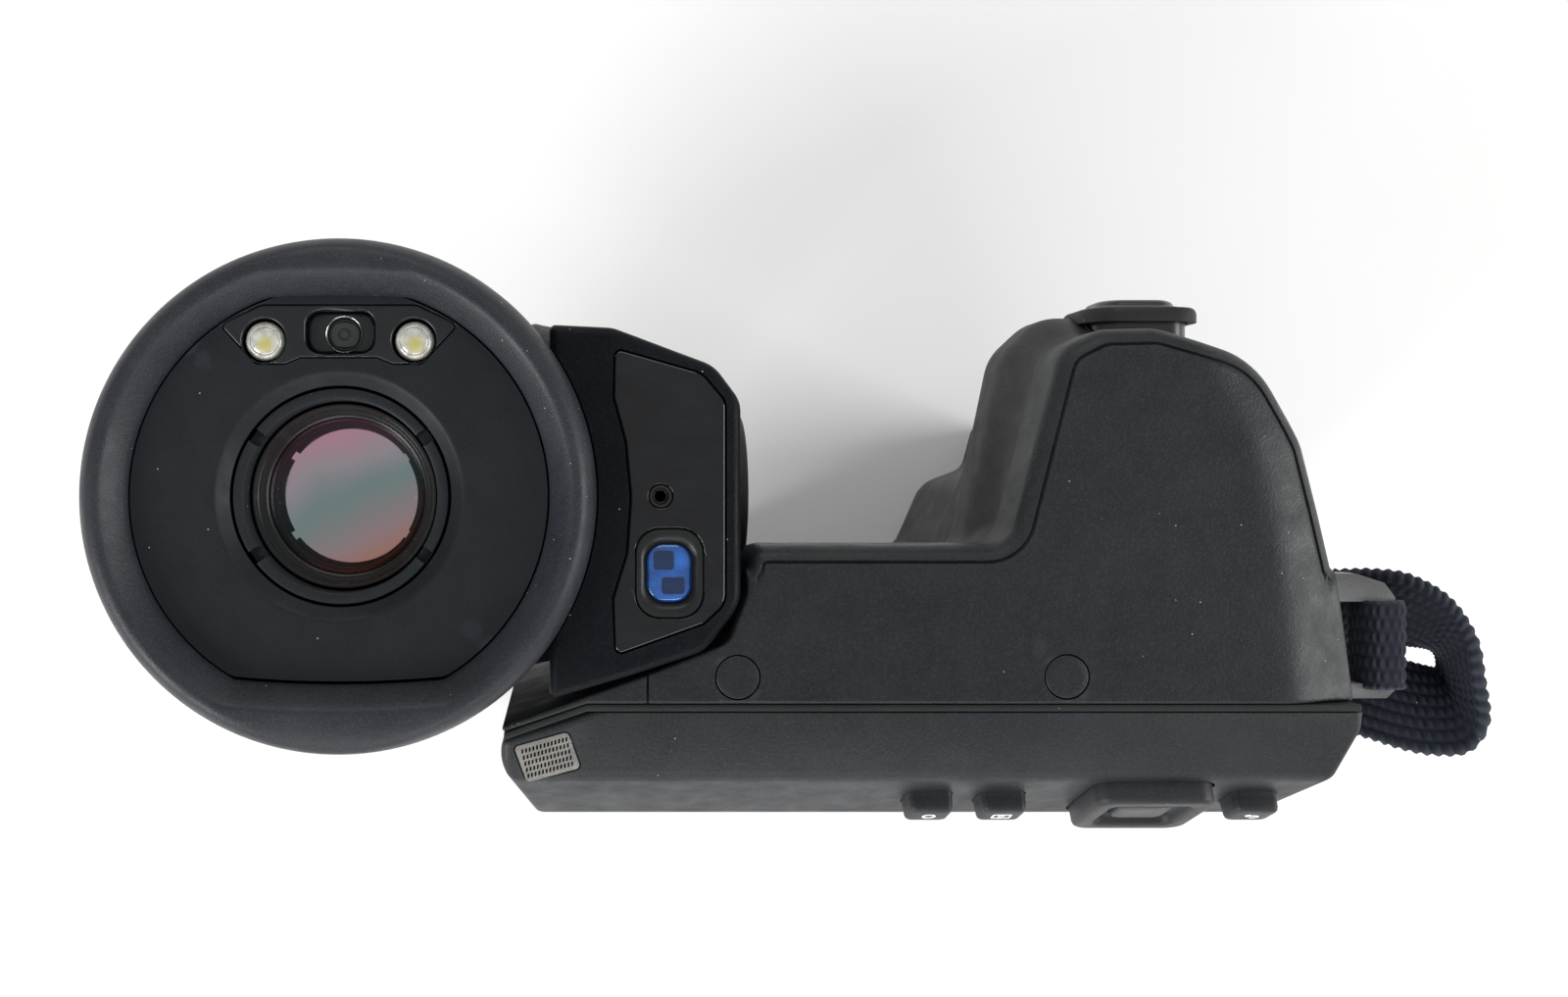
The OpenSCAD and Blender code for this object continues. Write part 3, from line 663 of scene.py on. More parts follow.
PAINTS = {
    "cover_plastic": moulded("cover_plastic", (0.0075, 0.009, 0.0105), (0.0115, 0.0128, 0.0142), 0.46,
                             dust=0.03),
    "grip_rubber": moulded("grip_rubber", (0.012, 0.012, 0.012), (0.019, 0.019, 0.0188), 0.55, 0.35, 0.03,
                           0.02),
    "housing_plastic": moulded("housing_plastic", (0.008, 0.0095, 0.0115), (0.0135, 0.0155, 0.018), 0.5,
                               dust=0.03),
    "seal_rubber": moulded("seal_rubber", (0.007, 0.0075, 0.008), (0.013, 0.0135, 0.014), 0.6, 0.3, 0.03,
                           0.12),
    "key_rubber": moulded("key_rubber", (0.012, 0.0125, 0.014), (0.019, 0.02, 0.022), 0.5, 0.25, 0.015,
                          0.02),
    "key_cap": moulded("key_cap", (0.02, 0.021, 0.023), (0.03, 0.031, 0.033), 0.42, 0.2, 0.012, 0.02),
    "gloss_cap": moulded("gloss_cap", (0.006, 0.0065, 0.007), (0.012, 0.0125, 0.013), 0.27, 0.2, 0.006,
                         0.02, 0.6),
    "screen_glass": glossy("screen_glass", (0.003, 0.0035, 0.0045), (0.006, 0.007, 0.009), 0.05, 0.6),
    "screen_panel": glossy("screen_panel", (0.012, 0.013, 0.016), (0.02, 0.022, 0.026), 0.2),
    "metal_grey": metal("metal_grey", (0.36, 0.37, 0.39), (0.52, 0.53, 0.55), 0.35),
    "circuit_board": circuit("circuit_board"),
    "battery_shell": moulded("battery_shell", (0.04, 0.042, 0.046), (0.06, 0.062, 0.066), 0.5),
    "latch_red": moulded("latch_red", (0.42, 0.035, 0.02), (0.52, 0.05, 0.03), 0.4, 0.2, 0.012, 0.02),
    "grille_metal": metal("grille_metal", (0.15, 0.145, 0.135), (0.23, 0.225, 0.21), 0.5, (1, 3, 1)),
    "brass": metal("brass", (0.48, 0.31, 0.11), (0.62, 0.43, 0.18), 0.32, (1, 1, 4)),
    "lug_metal": moulded("lug_metal", (0.055, 0.056, 0.058), (0.085, 0.086, 0.088), 0.4, 0.25, 0.01, 0.02),
    "strap_webbing": webbing("strap_webbing"),
    "lens_shell": moulded("lens_shell", (0.0025, 0.0035, 0.005), (0.0045, 0.006, 0.008), 0.46, dust=0.03,
                          gloss=0.1),
    "ring_rubber": moulded("ring_rubber", (0.0125, 0.0145, 0.019), (0.022, 0.0245, 0.030), 0.43, 0.26,
                           0.045, 0.10),
    "plate_matte": moulded("plate_matte", (0.007, 0.009, 0.011), (0.009, 0.0115, 0.014), 0.5, 0.25, 0.012,
                           0.04, 0.22),
    "lamp_gloss": glossy("lamp_gloss", (0.006, 0.007, 0.0085), (0.009, 0.0105, 0.012), 0.26),
    "lamp_dome": lamp_dome("lamp_dome"),
    "lamp_phosphor": moulded("lamp_phosphor", (0.62, 0.5, 0.1), (0.8, 0.68, 0.2), 0.6, 0.2, 0.01, 0),
    "camera_glass": glossy("camera_glass", (0.004, 0.006, 0.006), (0.012, 0.02, 0.016), 0.03, 1.0, 0),
    "barrel_black": moulded("barrel_black", (0.006, 0.0065, 0.007), (0.01, 0.0105, 0.011), 0.36, 0.15,
                            0.006, 0.03),
    "ir_coating": coated_lens_with_painted_reflection("ir_coating"),
    "detector_metal": metal("detector_metal", (0.4, 0.4, 0.42), (0.55, 0.55, 0.56), 0.3),
    "laser_panel": glossy("laser_panel", (0.0035, 0.004, 0.005), (0.007, 0.008, 0.0095), 0.09, 0, 0.05),
    "receiver_blue": glossy("receiver_blue", (0.004, 0.05, 0.22), (0.012, 0.13, 0.50), 0.05, 1.0, 0.02),
    "receiver_dark": glossy("receiver_dark", (0.002, 0.012, 0.05), (0.004, 0.02, 0.075), 0.1, 0.5, 0),
    "eye_metal": metal("eye_metal", (0.30, 0.31, 0.32), (0.42, 0.43, 0.44), 0.22),
    "ink": moulded("ink", (0.62, 0.63, 0.65), (0.72, 0.73, 0.74), 0.5, 0.2, 0.004, 0),
    "gasket_black": moulded("gasket_black", (0.002, 0.002, 0.0022), (0.004, 0.004, 0.0042), 0.7, 0.3, 0.01,
                            0),
}


# ---------------------------------------------------------------- body pieces

def soften(node, width, paint, body, segments=3, angle=28):
    """A piece with the CAD node's shape and its hard edges rounded."""
    source = frame["nodes"][node].data
    bm = bmesh.new()
    bm.from_mesh(source)
    bmesh.ops.remove_doubles(bm, verts=bm.verts, dist=2e-6)
    limit = math.radians(4)
    bmesh.ops.dissolve_limit(bm, angle_limit=limit, verts=bm.verts, edges=bm.edges)
    edges = [e for e in bm.edges if len(e.link_faces) == 2 and e.calc_face_angle(0) > math.radians(angle)]
    bmesh.ops.bevel(bm, geom=edges, offset=width * MM, segments=segments, profile=0.5, affect="EDGES",
                    clamp_overlap=True)
    made = bpy.data.meshes.new(node + "_shape")
    bm.to_mesh(made)
    bm.free()
    add_piece(node + "_piece", made, body, paint, [node])


def open_rim():
    """The part of the cover's outline that has the rounded rim, as an open line."""
    line = rounded(COVER)
    return [p for p in line if p[0] > EAR_LEFT - 0.1 and p[1] > SEAM_FRONT + 0.6 and not (
        p[0] < EAR_LEFT + 0.5 and p[1] < 16)]


def signed_crease(x, y):
    """How far each point lies to the right of the crease down the grip."""
    far = distance(x, y, CREASE)
    order = sorted(CREASE, key=lambda p: p[1])
    line_x = np.interp(y, [p[1] for p in order], [p[0] for p in order])
    return np.where(x > line_x, far, -far)


RIM_R = 2.8
PARTING = 2.55


def cover_height(x, y):
    """The top of the front cover: rounded rim, parting groove, slope right of the crease, seam groove."""
    line = open_rim()
    edge = distance(x, y, line)
    whole = distance(x, y, rounded(COVER), True)
    drop = np.maximum(rim(edge, RIM_R), rim(whole, 0.5))
    right = signed_crease(x, y)
    slope = 0.17 * (right + np.sqrt(right * right + 2.0))
    drop += np.clip(slope, 0, 3.6) * np.clip((right + 3) / 3, 0, 1)
    drop += groove(np.abs(edge - PARTING), 0.2, 0.5)
    drop += groove(np.where(y < 1.4, np.abs(x + 47.4), 9), 0.18, 0.5)
    return BODY_TOP - drop


def make_cover():
    """The front cover's skin, with its raised field, its seam and its screw holes."""
    rows = (0.12, 0.35, 0.7, 1.15, 1.7, 2.2, 2.37, 2.46, 2.55, 2.64, 2.73, 2.9, 3.6)
    loops = [dense(rounded(COVER), 1.0)] + [circle(x, y, PLUG_R + 0.1, 40) for x, y in SCREWS]
    seam = [(-47.4 + dx, y) for dx in (-0.19, -0.1, 0, 0.1, 0.19) for y in np.arange(-3.3, 1.2, 0.4)]
    bm = relief(loops, COVER_Z + 0.02, cover_height, 1.5, rows, seam)
    add_piece("front_cover_skin", bm, "camera_body", "cover_plastic", ["front_cover"], 50)


def make_plugs():
    """The screw plugs, let into the cover's holes."""
    bm = bmesh.new()
    for x, y in SCREWS:
        r = PLUG_R - 0.12
        plug = lathe([(r, BODY_TOP - 4.5)] + [(r, BODY_TOP - 0.2), (r - 0.06, BODY_TOP - 0.1),
                     (r - 0.2, BODY_TOP - 0.04), (0.6 * r, BODY_TOP - 0.02), (0.2, BODY_TOP - 0.02)], 56)
        moved(plug, Matrix.Translation((x, y, 0)))
        made = to_mesh(plug, "plug")
        bm.from_mesh(made)
    made = bpy.data.meshes.new("screw_plugs_shape")
    bm.to_mesh(made)
    add_piece("screw_plug_caps", made, "camera_body", "cover_plastic", ["screw_plugs"])


def blended(a, b, t):
    """Corners between two outlines of the same corners."""
    t = t * t * (3 - 2 * t)
    return [tuple(p + (q - p) * t for p, q in zip(ca, cb)) for ca, cb in zip(a, b)]


def shrunk(points, amount):
    """The closed line moved inwards, along each point's normal."""
    out = []
    for i, (x, y) in enumerate(points):
        (ax, ay), (bx, by) = points[i - 1], points[(i + 1) % len(points)]
        length = math.hypot(bx - ax, by - ay) or 1
        out.append((x - (by - ay) / length * amount, y + (bx - ax) / length * amount))
    return out


def make_shell():
    """The grip and rear shell: one smooth skin from the foot up to the cover."""
    knots = [(0, FOOT), (3, FOOT), (23, SHIN), (45, WAIST), (73, WAIST), (84, PALM), (98, PALM),
             (110, GRIP), (117, GRIP), (COVER_Z, COVER)]
    rings = []
    foot = [tuple(p) for p in rounded(FOOT)]
    for drop, lift in ((0.35, 0), (0.2, 0.08), (0.08, 0.25), (0, 0.5)):
        rings.append([(x, y, lift) for x, y in shrunk(foot, -drop if area(foot) < 0 else drop)])
    heights = [z for z in np.arange(4, COVER_Z - 0.3, 1.5)] + [COVER_Z - 0.02]
    for z in heights:
        k = max(i for i in range(len(knots) - 1) if knots[i][0] <= z)
        (za, a), (zb, b) = knots[k], knots[k + 1]
        rings.append([(x, y, z) for x, y in rounded(blended(a, b, min(1, (z - za) / (zb - za))))])
    bm = loft(rings)
    ear = moved(lathe([(14.2, 0), (14.8, 0.25), (15, 0.8), (15, 2.6), (14.8, 3.15), (14.2, 3.4)], 72),
                pivot_place(EAR_LEFT))
    shell = carve(to_mesh(bm, "shell"), [ear], "UNION")
    cutters = [
        moved(stack([(17, 15, 4, 0), (17, 15, 4, 30)]), grip_place(*TRIGGER, 40)),
        moved(stack([(20, 16.8, 5, 0), (20, 16.8, 5, 10)]), grip_place(*TRIGGER, 58.6)),
        moved(lathe([(5.3, 0), (5.3, 30)], 48), grip_place(*FOCUS, 46)),
        moved(lathe([(6.03, -1), (6.03, 10)], 48), at(0, 7, 0)),
        moved(stack([(25.6, 30, 0.6, -1), (25.6, 30, 0.6, 4)]), at(45.2, 15, 0)),
        moved(lathe([(12.1, -1), (12.1, 2.2)], 72), pivot_place(EAR_LEFT)),
    ]
    for z in (122, 14):
        cutters.append(moved(stack([(12, 17, 0.6, -5), (12, 17, 0.6, 5)]), at(66, 5, z)))
    shell = carve(shell, cutters)
    add_piece("grip_shell_skin", shell, "camera_body", "grip_rubber", ["grip_shell"], 40)


def area(points):
    """The signed area inside a closed line."""
    return sum(a[0] * b[1] - b[0] * a[1] for a, b in zip(points, points[1:] + points[:1])) / 2


def make_seal():
    """The seal's exposed edge, a strip with a softened rim."""
    outline = rounded(SEAL, 4)

    def height(x, y):
        return BODY_TOP - 0.75 - rim(distance(x, y, outline, True), 0.3)

    bm = relief([dense(outline, 1.5)], 0.9, height, 1.2, (0.1, 0.25))
    add_piece("seal_strip", bm, "camera_body", "seal_rubber", ["body_seal"])


def make_housing():
    """The display housing: a prism cut by its profile's planes, rounded, then pocketed."""
    bm = bmesh.new()
    low = [bm.verts.new((x, y, 0)) for x, y in HOUSING]
    bm.faces.new(low)
    lifted = bmesh.ops.extrude_face_region(bm, geom=bm.faces[:])
    top = [v for v in lifted["geom"] if isinstance(v, bmesh.types.BMVert)]
    bmesh.ops.translate(bm, verts=top, vec=(0, 0, BODY_TOP + 5))
    strip_low = STRIP_TOP - Vector((0, STRIP_W * math.sin(STRIP_TILT), STRIP_W * math.cos(STRIP_TILT)))
    profile = [(SEAM_REAR, BODY_TOP - 1), (STRIP_TOP.y, STRIP_TOP.z), (strip_low.y, strip_low.z)]
    cuts = list(zip(profile, profile[1:])) + [((DISPLAY_Y, 6), (DISPLAY_Y + 4, 0))]
    for (ay, az), (by, bz) in cuts:
        normal = Vector((0, az - bz, by - ay)).normalized()
        if normal.dot(Vector((0, ay - 10, az - 70))) < 0:
            normal = -normal
        bmesh.ops.bisect_plane(bm, geom=bm.verts[:] + bm.edges[:] + bm.faces[:], dist=1e-5,
                               plane_co=(0, ay, az), plane_no=normal, clear_outer=True)
        bmesh.ops.holes_fill(bm, edges=[e for e in bm.edges if e.is_boundary], sides=0)
    bmesh.ops.dissolve_limit(bm, angle_limit=math.radians(1), verts=bm.verts, edges=bm.edges)
    rear = SEAM_REAR - 0.05
    seam_edges = [e for e in bm.edges if all(v.co.y > rear for v in e.verts)]
    others = [e for e in bm.edges if e not in seam_edges]
    bmesh.ops.bevel(bm, geom=others, offset=1.5, segments=5, profile=0.5, affect="EDGES",
                    clamp_overlap=True)
    seam_edges = [e for e in bm.edges if all(v.co.y > rear for v in e.verts) and len(e.link_faces) == 2
                  and e.calc_face_angle(0) > 0.5]
    bmesh.ops.bevel(bm, geom=seam_edges, offset=0.35, segments=3, profile=0.5, affect="EDGES",
                    clamp_overlap=True)
    cutters = [moved(stack([(GLASS[0], GLASS[1], 3, -1.9), (GLASS[0], GLASS[1], 3, 4)]),
                     display_place(*SCREEN))]
    for x in KEYS.values():
        cutters.append(moved(stack([(7.9, 7.3, 1.3, -4), (7.9, 7.3, 1.3, 6)]), strip_place(x)))
    cutters.append(moved(stack([(20.3, 19.1, 3.1, -4), (20.3, 19.1, 3.1, 6)]), strip_place(NAV_X)))
    cutters.append(moved(lathe([(4.25, -4), (4.25, 4)], 56), display_place(*POWER)))
    cutters.append(moved(stack([(9.6, 7.4, 1, -0.9), (9.6, 7.4, 1, 5)]), GRILLE_PLACE))
    cutters.append(moved(stack([(8, 5.8, 0.8, -4), (8, 5.8, 0.8, 2)]), GRILLE_PLACE))
    cutters.append(moved(stack([(4, 10.6, 0.4, 22), (4, 10.6, 0.4, 62)]),
                         END_PLACE @ Matrix.Translation((0.2, 0.1, 0))))
    cutters.append(moved(stack([(10, 6.4, 0.6, 23.5), (10, 6.4, 0.6, 60.5)]),
                         END_PLACE @ Matrix.Translation((-4, 0, 0))))
    made = carve(to_mesh(bm, "housing"), cutters)
    add_piece("display_housing_shell", made, "camera_body", "housing_plastic", ["display_housing"], 32)


def make_display_glass():
    """The display's glass, with a softened edge."""
    w, h = GLASS[0] - 0.4, GLASS[1] - 0.4
    levels = [(w, h, 2.8, -1.6), (w, h, 2.8, -0.5), (w - 0.15, h - 0.15, 2.7, -0.28),
              (w - 0.5, h - 0.5, 2.5, -0.2)]
    bm = moved(stack(levels, 8), display_place(*SCREEN))
    add_piece("display_glass_pane", bm, "camera_body", "screen_glass", ["display_glass"])


def make_grille():
    """A plate with rows of slanted slots, over a dark backing."""
    w, d, pitch, row = 9.3, 7.1, 0.62, 1.14
    loops = [dense(box2(w, d, 0.9), 0.8)]
    for j in range(5):
        for i in range(13):
            cx, cy = (i - 6) * pitch + 0.12 * (j - 2), (j - 2) * row
            loops.append([(cx - 0.28, cy - 0.38), (cx + 0.04, cy - 0.38), (cx + 0.28, cy + 0.38),
                          (cx - 0.04, cy + 0.38)])
    bm = relief(loops, -0.75, lambda x, y: -rim(distance(x, y, loops[0], True), 0.25), 1.1, (0.12,))
    made = to_mesh(moved(bm, GRILLE_PLACE), "grille")
    add_piece("speaker_grille_plate", made, "camera_body", "grille_metal", ["speaker_grille"])
    cloth = moved(stack([(7.8, 5.6, 0.7, -1.7), (7.8, 5.6, 0.7, -1.3), (7.5, 5.3, 0.6, -1.2)]),
                  GRILLE_PLACE)
    add_piece("speaker_cloth", cloth, "camera_body", "gasket_black")


# ---------------------------------------------------------------- controls

def key_levels(w, d, h):
    """A rubber key: flared foot, upright walls, soft pillow top."""
    return [(w + 0.35, d + 0.35, 1.2, -3), (w + 0.35, d + 0.35, 1.2, 0), (w + 0.15, d + 0.15, 1.1, 0.35),
            (w, d, 1, 1.0), (w - 0.15, d - 0.15, 1, h - 0.9), (w - 0.4, d - 0.4, 1.05, h - 0.4),
            (w - 0.9, d - 0.9, 1.1, h - 0.14), (w - 1.8, d - 1.8, 1.1, h - 0.04),
            (w - 3.6, d - 3.6, 0.8, h)]


def ink_lines(name, body, place, lines, thick=0.42, lift=0.03):
    """Printed marks: flat ribbons along lines of points, standing a hair above the key."""
    bm = bmesh.new()
    for line, closed in lines:
        pts = [Vector((*p, 0)) for p in line]
        n = len(pts)
        rails = []
        for i, p in enumerate(pts):
            a = pts[i - 1] if closed or i else p
            b = pts[(i + 1) % n] if closed or i < n - 1 else p
            along = (b - a).normalized()
            side = Vector((-along.y, along.x, 0)) * thick / 2
            rails.append((p + side, p - side))
        rings = [[l + Vector((0, 0, lift)), r + Vector((0, 0, lift)), r - Vector((0, 0, 0.1)),
                  l - Vector((0, 0, 0.1))] for l, r in rails]
        verts = [bm.verts.new(v) for ring in rings for v in ring]
        spans = range(n) if closed else range(n - 1)
        for i in spans:
            j = (i + 1) % n
            for k in range(4):
                m = (k + 1) % 4
                bm.faces.new([verts[4 * i + k], verts[4 * i + m], verts[4 * j + m], verts[4 * j + k]])
        if not closed:
            bm.faces.new(verts[:4][::-1])
            bm.faces.new(verts[-4:])
    moved(bm, place)
    add_piece(name, bm, body, "ink")


def make_keys():
    """The single keys of the strip, and their printed marks."""
    for name, x in KEYS.items():
        bm = moved(stack(key_levels(7.3, 6.7, KEY_H), 5), strip_place(x))
        add_piece(name + "_cap", bm, name, "key_rubber", [name], 60)
    top = Matrix.Translation((0, 0, KEY_H - 0.01))
    ring = [(0.95 * math.cos(a), 0.95 * math.sin(a)) for a in np.linspace(0, 2 * math.pi, 28,
                                                                          endpoint=False)]
    ink_lines("p_button_mark", "p_button", strip_place(0.5) @ top, [(ring, True)], 0.34)
    frame_line = box2(2.9, 2.1, 0.35, steps=3)
    arrow = [(-0.45, -0.55), (0.6, 0), (-0.45, 0.55)]
    ink_lines("gallery_button_mark", "gallery_button", strip_place(12.7) @ top,
              [(frame_line, True), (arrow, True)], 0.3)
    hook = [(-1.2, 0.45), (0.5, 0.45)] + [(0.5 + 0.62 * math.sin(a), -0.17 + 0.62 * math.cos(a))
                                          for a in np.linspace(0.2, 2.9, 8)] + [(-0.1, -0.79)]
    head = [(-0.55, 1.05), (-1.25, 0.45), (-0.55, -0.15)]
    ink_lines("back_button_mark", "back_button", strip_place(54.7) @ top, [(hook, False), (head, False)],
              0.3)


def make_navigation():
    """The navigation ring, and the key in its middle."""
    w, d, h = NAV_W, NAV_W - 1.6, KEY_H
    levels = [(w + 0.2, d + 0.2, 3, -3), (w + 0.2, d + 0.2, 3, 0), (w, d, 2.9, 0.5),
              (w - 0.1, d - 0.1, 2.9, h - 0.9), (w - 0.5, d - 0.5, 2.9, h - 0.3),
              (w - 1.2, d - 1.2, 2.8, h - 0.05), (w - 2, d - 2, 2.6, h), (w - 4.8, d - 4.6, 2.3, h),
              (w - 5.6, d - 5.4, 2.2, h - 0.12), (w - 6.3, d - 6.1, 2.1, h - 0.6),
              (w - 6.6, d - 6.4, 2, h - 1.4), (w - 7, d - 6.8, 1.9, h - 1.5), (9.7, 8.3, 1.6, h - 1.5),
              (9.4, 8, 1.5, h - 1.6), (9.4, 8, 1.5, -3)]
    bm = stack(levels, 7, False, False)
    add_piece("nav_ring_pad", moved(bm, strip_place(NAV_X)), "nav_ring", "key_rubber", ["nav_ring"], 60)
    cap = [(8.8, 7.4, 1.4, -3), (8.8, 7.4, 1.4, h - 1.3), (8.5, 7.1, 1.4, h - 0.8),
           (7.6, 6.2, 1.3, h - 0.62), (4, 3, 0.8, h - 0.58)]
    add_piece("nav_center_cap", moved(stack(cap, 6), strip_place(NAV_X)), "nav_center", "key_cap",
              ["nav_center"], 60)


def make_power_button():
    """The round power button and its mark."""
    bm = lathe([(4, -5), (4, 0.5), (3.85, 0.95), (3.4, 1.15), (2.6, 1.1), (1.2, 0.95), (0.2, 0.92)], 64)
    add_piece("power_button_cap", moved(bm, display_place(*POWER)), "power_button", "key_rubber",
              ["power_button"], 60)
    sweep = [(1.25 * math.cos(a), 1.25 * math.sin(a)) for a in np.linspace(math.radians(125),
                                                                           math.radians(415), 22)]
    ink_lines("power_button_mark", "power_button", display_place(*POWER) @ Matrix.Translation((0, 0, 1.02)),
              [(sweep, False), ([(0, 0.5), (0, 1.65)], False)], 0.3, 0.08)


def make_trigger():
    """The trigger, the rubber round it, and the focus button."""
    place = grip_place(*TRIGGER, 50)
    levels = [(16.2, 14.2, 3.8, 0), (16.2, 14.2, 3.8, 10.2), (16, 14, 3.8, 10.9), (15.3, 13.3, 3.8, 11.35),
              (14.2, 12.2, 3.7, 11.5), (13.5, 11.5, 3.6, 11.55), (13.2, 11.2, 3.6, 11.9),
              (12.7, 10.7, 3.5, 12.35), (11.6, 9.6, 3.4, 12.65), (9.4, 7.4, 3, 12.72), (5, 4, 1.6, 12.7)]
    add_piece("trigger_cap", moved(stack(levels, 8), place), "trigger_button", "gloss_cap",
              ["trigger_button"], 60)
    levels = [(17, 15, 4, 0), (19.8, 16.6, 4.9, 0), (19.8, 16.6, 4.9, 1.5), (19.4, 16.2, 4.8, 2.1),
              (18.6, 15.8, 4.6, 2.4), (17.5, 15.4, 4.3, 2.35), (17, 15, 4, 1.8), (17, 15, 4, 0)]
    bm = moved(stack(levels, 8, False, False), grip_place(*TRIGGER, 58.7))
    add_piece("trigger_surround", bm, "camera_body", "seal_rubber", ["trigger_collar"], 60)
    bm = lathe([(5, 0), (5, 10.9), (4.8, 11.5), (4.2, 11.85), (3.2, 11.8), (1.6, 11.55), (0.2, 11.5)], 56)
    add_piece("focus_button_cap", moved(bm, grip_place(*FOCUS, 50)), "focus_button", "gloss_cap",
              ["focus_button"], 60)


# ---------------------------------------------------------------- lens block

def chorded(r, low, high, n=192):
    """A circle about the optical axis, cut by slightly bowed chords below and above it."""
    points = []
    for k in range(n):
        a = 2 * math.pi * k / n
        reach = r
        for limit, side in ((low, -1), (high, 1)):
            across = side * math.sin(a)
            if limit and across > 0.2:
                x = limit * math.cos(a) / across
                reach = min(reach, (limit + 0.85 * (1 - min(abs(x) / 17, 1.4) ** 2)) / across)
        points.append((reach * math.cos(a), reach * math.sin(a)))
    return points


def make_ring():
    """The rubber ring: a conical inner wall, a tight crest and a rounded shoulder down to the outer wall."""
    top, inner, low, high = RING_TOP, 32.6, 28.2, 30.2
    section = [(0, -4.5), (0.1, -3.9), (0.5, -3.2), (1.4, -2.1), (2.3, -1.12), (2.9, -0.55), (3.35, -0.2),
               (3.8, -0.03), (4.15, 0), (4.6, -0.06), (5.1, -0.25), (5.6, -0.62), (6.1, -1.15), (6.6, -1.9),
               (7.0, -2.9), (7.25, -4.2)]
    rings = []
    for across, drop in section:
        spread = max(0, across - 4.15)
        rings.append([(x, y, top + drop) for x, y in
                      chorded(inner + across, low + across + 1.5 * spread, high + across + 1.5 * spread)])
    outer = RING_R
    for r, z in ((outer, top - 5.6), (outer, RING_BASE + 0.7), (outer - 0.25, RING_BASE + 0.2),
                 (outer - 0.7, RING_BASE)):
        rings.append([(x, y, z) for x, y in chorded(r, None, None)])
    rings.append([(x, y, RING_BASE) for x, y in chorded(BARREL_R + 0.2, None, None)])
    rings.append([(x, y, PLATE_Z - 0.3) for x, y in chorded(inner - 0.02, low, high)])
    rings.append(rings[0])
    bm = moved(loft(rings, False, False), lens_place(0))
    add_piece("front_ring_skin", bm, "lens_block", "ring_rubber", ["front_ring"], 62)


def make_barrel():
    """The lens block's barrel, with shallow grooves round it."""
    low, high = corners_mm("lens_housing")
    base, top = low.z, high.z
    profile = [(BARREL_R - 4, base), (BARREL_R - 1.6, base), (BARREL_R - 0.7, base + 0.35),
               (BARREL_R - 0.15, base + 1), (BARREL_R, base + 2)]
    for z in (76, 121.5, 124.4):
        profile += [(BARREL_R, z - 0.55), (BARREL_R - 0.12, z - 0.42), (BARREL_R - 0.5, z - 0.28),
                    (BARREL_R - 0.5, z + 0.28), (BARREL_R - 0.12, z + 0.42), (BARREL_R, z + 0.55)]
    profile += [(BARREL_R, top - 0.4), (BARREL_R - 0.4, top), (BARREL_R - 6, top)]
    skin = to_mesh(moved(lathe(profile, 160), lens_place(0)), "lens_housing_skin")
    bore = moved(lathe([(33.85, 127.9), (33.85, top + 2)], 160), lens_place(0))
    skin = carve(skin, [bore])
    add_piece("lens_housing_skin", skin, "lens_block", "lens_shell", ["lens_housing"])


def plate_outline():
    """The face plate's outline, a circle with a chord cut off."""
    return [(x + LENS.x, y + LENS.y) for x, y in dense(chorded(PLATE_R - 0.02, PLATE_CHORD - 0.9, 30.4),
                                                       1.2)]


def make_plate():
    """The matte face plate: a bevelled mouth round the lens, and the lamp window let into it."""
    low, _ = corners_mm("face_plate")
    cut = [(LENS.x + x, LENS.y + y) for x, y in rounded([(x * 1.004, y + (0.12 if y > 28 else -0.12), r)
                                                        for x, y, r in LAMPS])]
    mouth = circle(LENS.x, LENS.y, 17.25, 120)
    loops = [plate_outline(), mouth, dense(cut, 0.8)]

    def height(x, y):
        out = np.hypot(x - LENS.x, y - LENS.y)
        bevel = 0.85 * (19.3 - out + np.sqrt((19.3 - out) ** 2 + 0.05)) / 2
        return PLATE_Z - np.maximum(bevel, rim(distance(x, y, loops[2], True), 0.16))
    bm = relief(loops, low.z + 0.02, height, 1.3, (0.1, 0.3, 0.8, 1.4, 1.9, 2.1, 2.35, 2.5, 2.65))
    add_piece("face_plate_skin", bm, "lens_block", "plate_matte", ["face_plate"], 50)


def make_window():
    """The gloss window over the lamps and the visible-light camera, with holes for them."""
    low, _ = corners_mm("lamp_window")
    outline = [(LENS.x + x, LENS.y + y) for x, y in rounded(LAMPS)]
    loops = [dense(outline, 0.8)]
    for x, y in LAMP_PLACES:
        loops.append(circle(LENS.x + x, LENS.y + y, 3.45, 48))
    loops.append([(LENS.x + x, LENS.y + y) for x, y in box2(10.8, 6.6, 2.2, 0.2, 25.4)])
    top = PLATE_Z + 0.02

    def height(x, y):
        drop = rim(distance(x, y, loops[0], True), 0.25)
        for loop in loops[1:]:
            drop = np.maximum(drop, rim(distance(x, y, loop, True), 0.3))
        return top - drop
    bm = relief(loops, low.z, height, 1.2, (0.1, 0.25, 0.6))
    add_piece("lamp_window_pane", bm, "lens_block", "lamp_gloss", ["lamp_window"], 50)


def make_lamps():
    """The lamps' domed lenses."""
    low, high = corners_mm("lamp_domes")
    bm = bmesh.new()
    for x, y in LAMP_PLACES:
        profile = [(3.1, low.z + 0.05), (3.1, high.z - 1.5), (3.0, high.z - 0.95), (2.7, high.z - 0.5),
                   (2.35, high.z - 0.3), (2.2, high.z - 0.45), (1.95, high.z - 0.22), (1.4, high.z - 0.05),
                   (0.7, high.z), (0.1, high.z)]
        bm.from_mesh(to_mesh(moved(lathe(profile, 56), at(LENS.x + x, LENS.y + y, 0)), "lamp"))
    made = bpy.data.meshes.new("lamp_domes")
    bm.to_mesh(made)
    add_piece("lamp_dome_lenses", made, "lens_block", "lamp_dome", ["lamp_domes"])


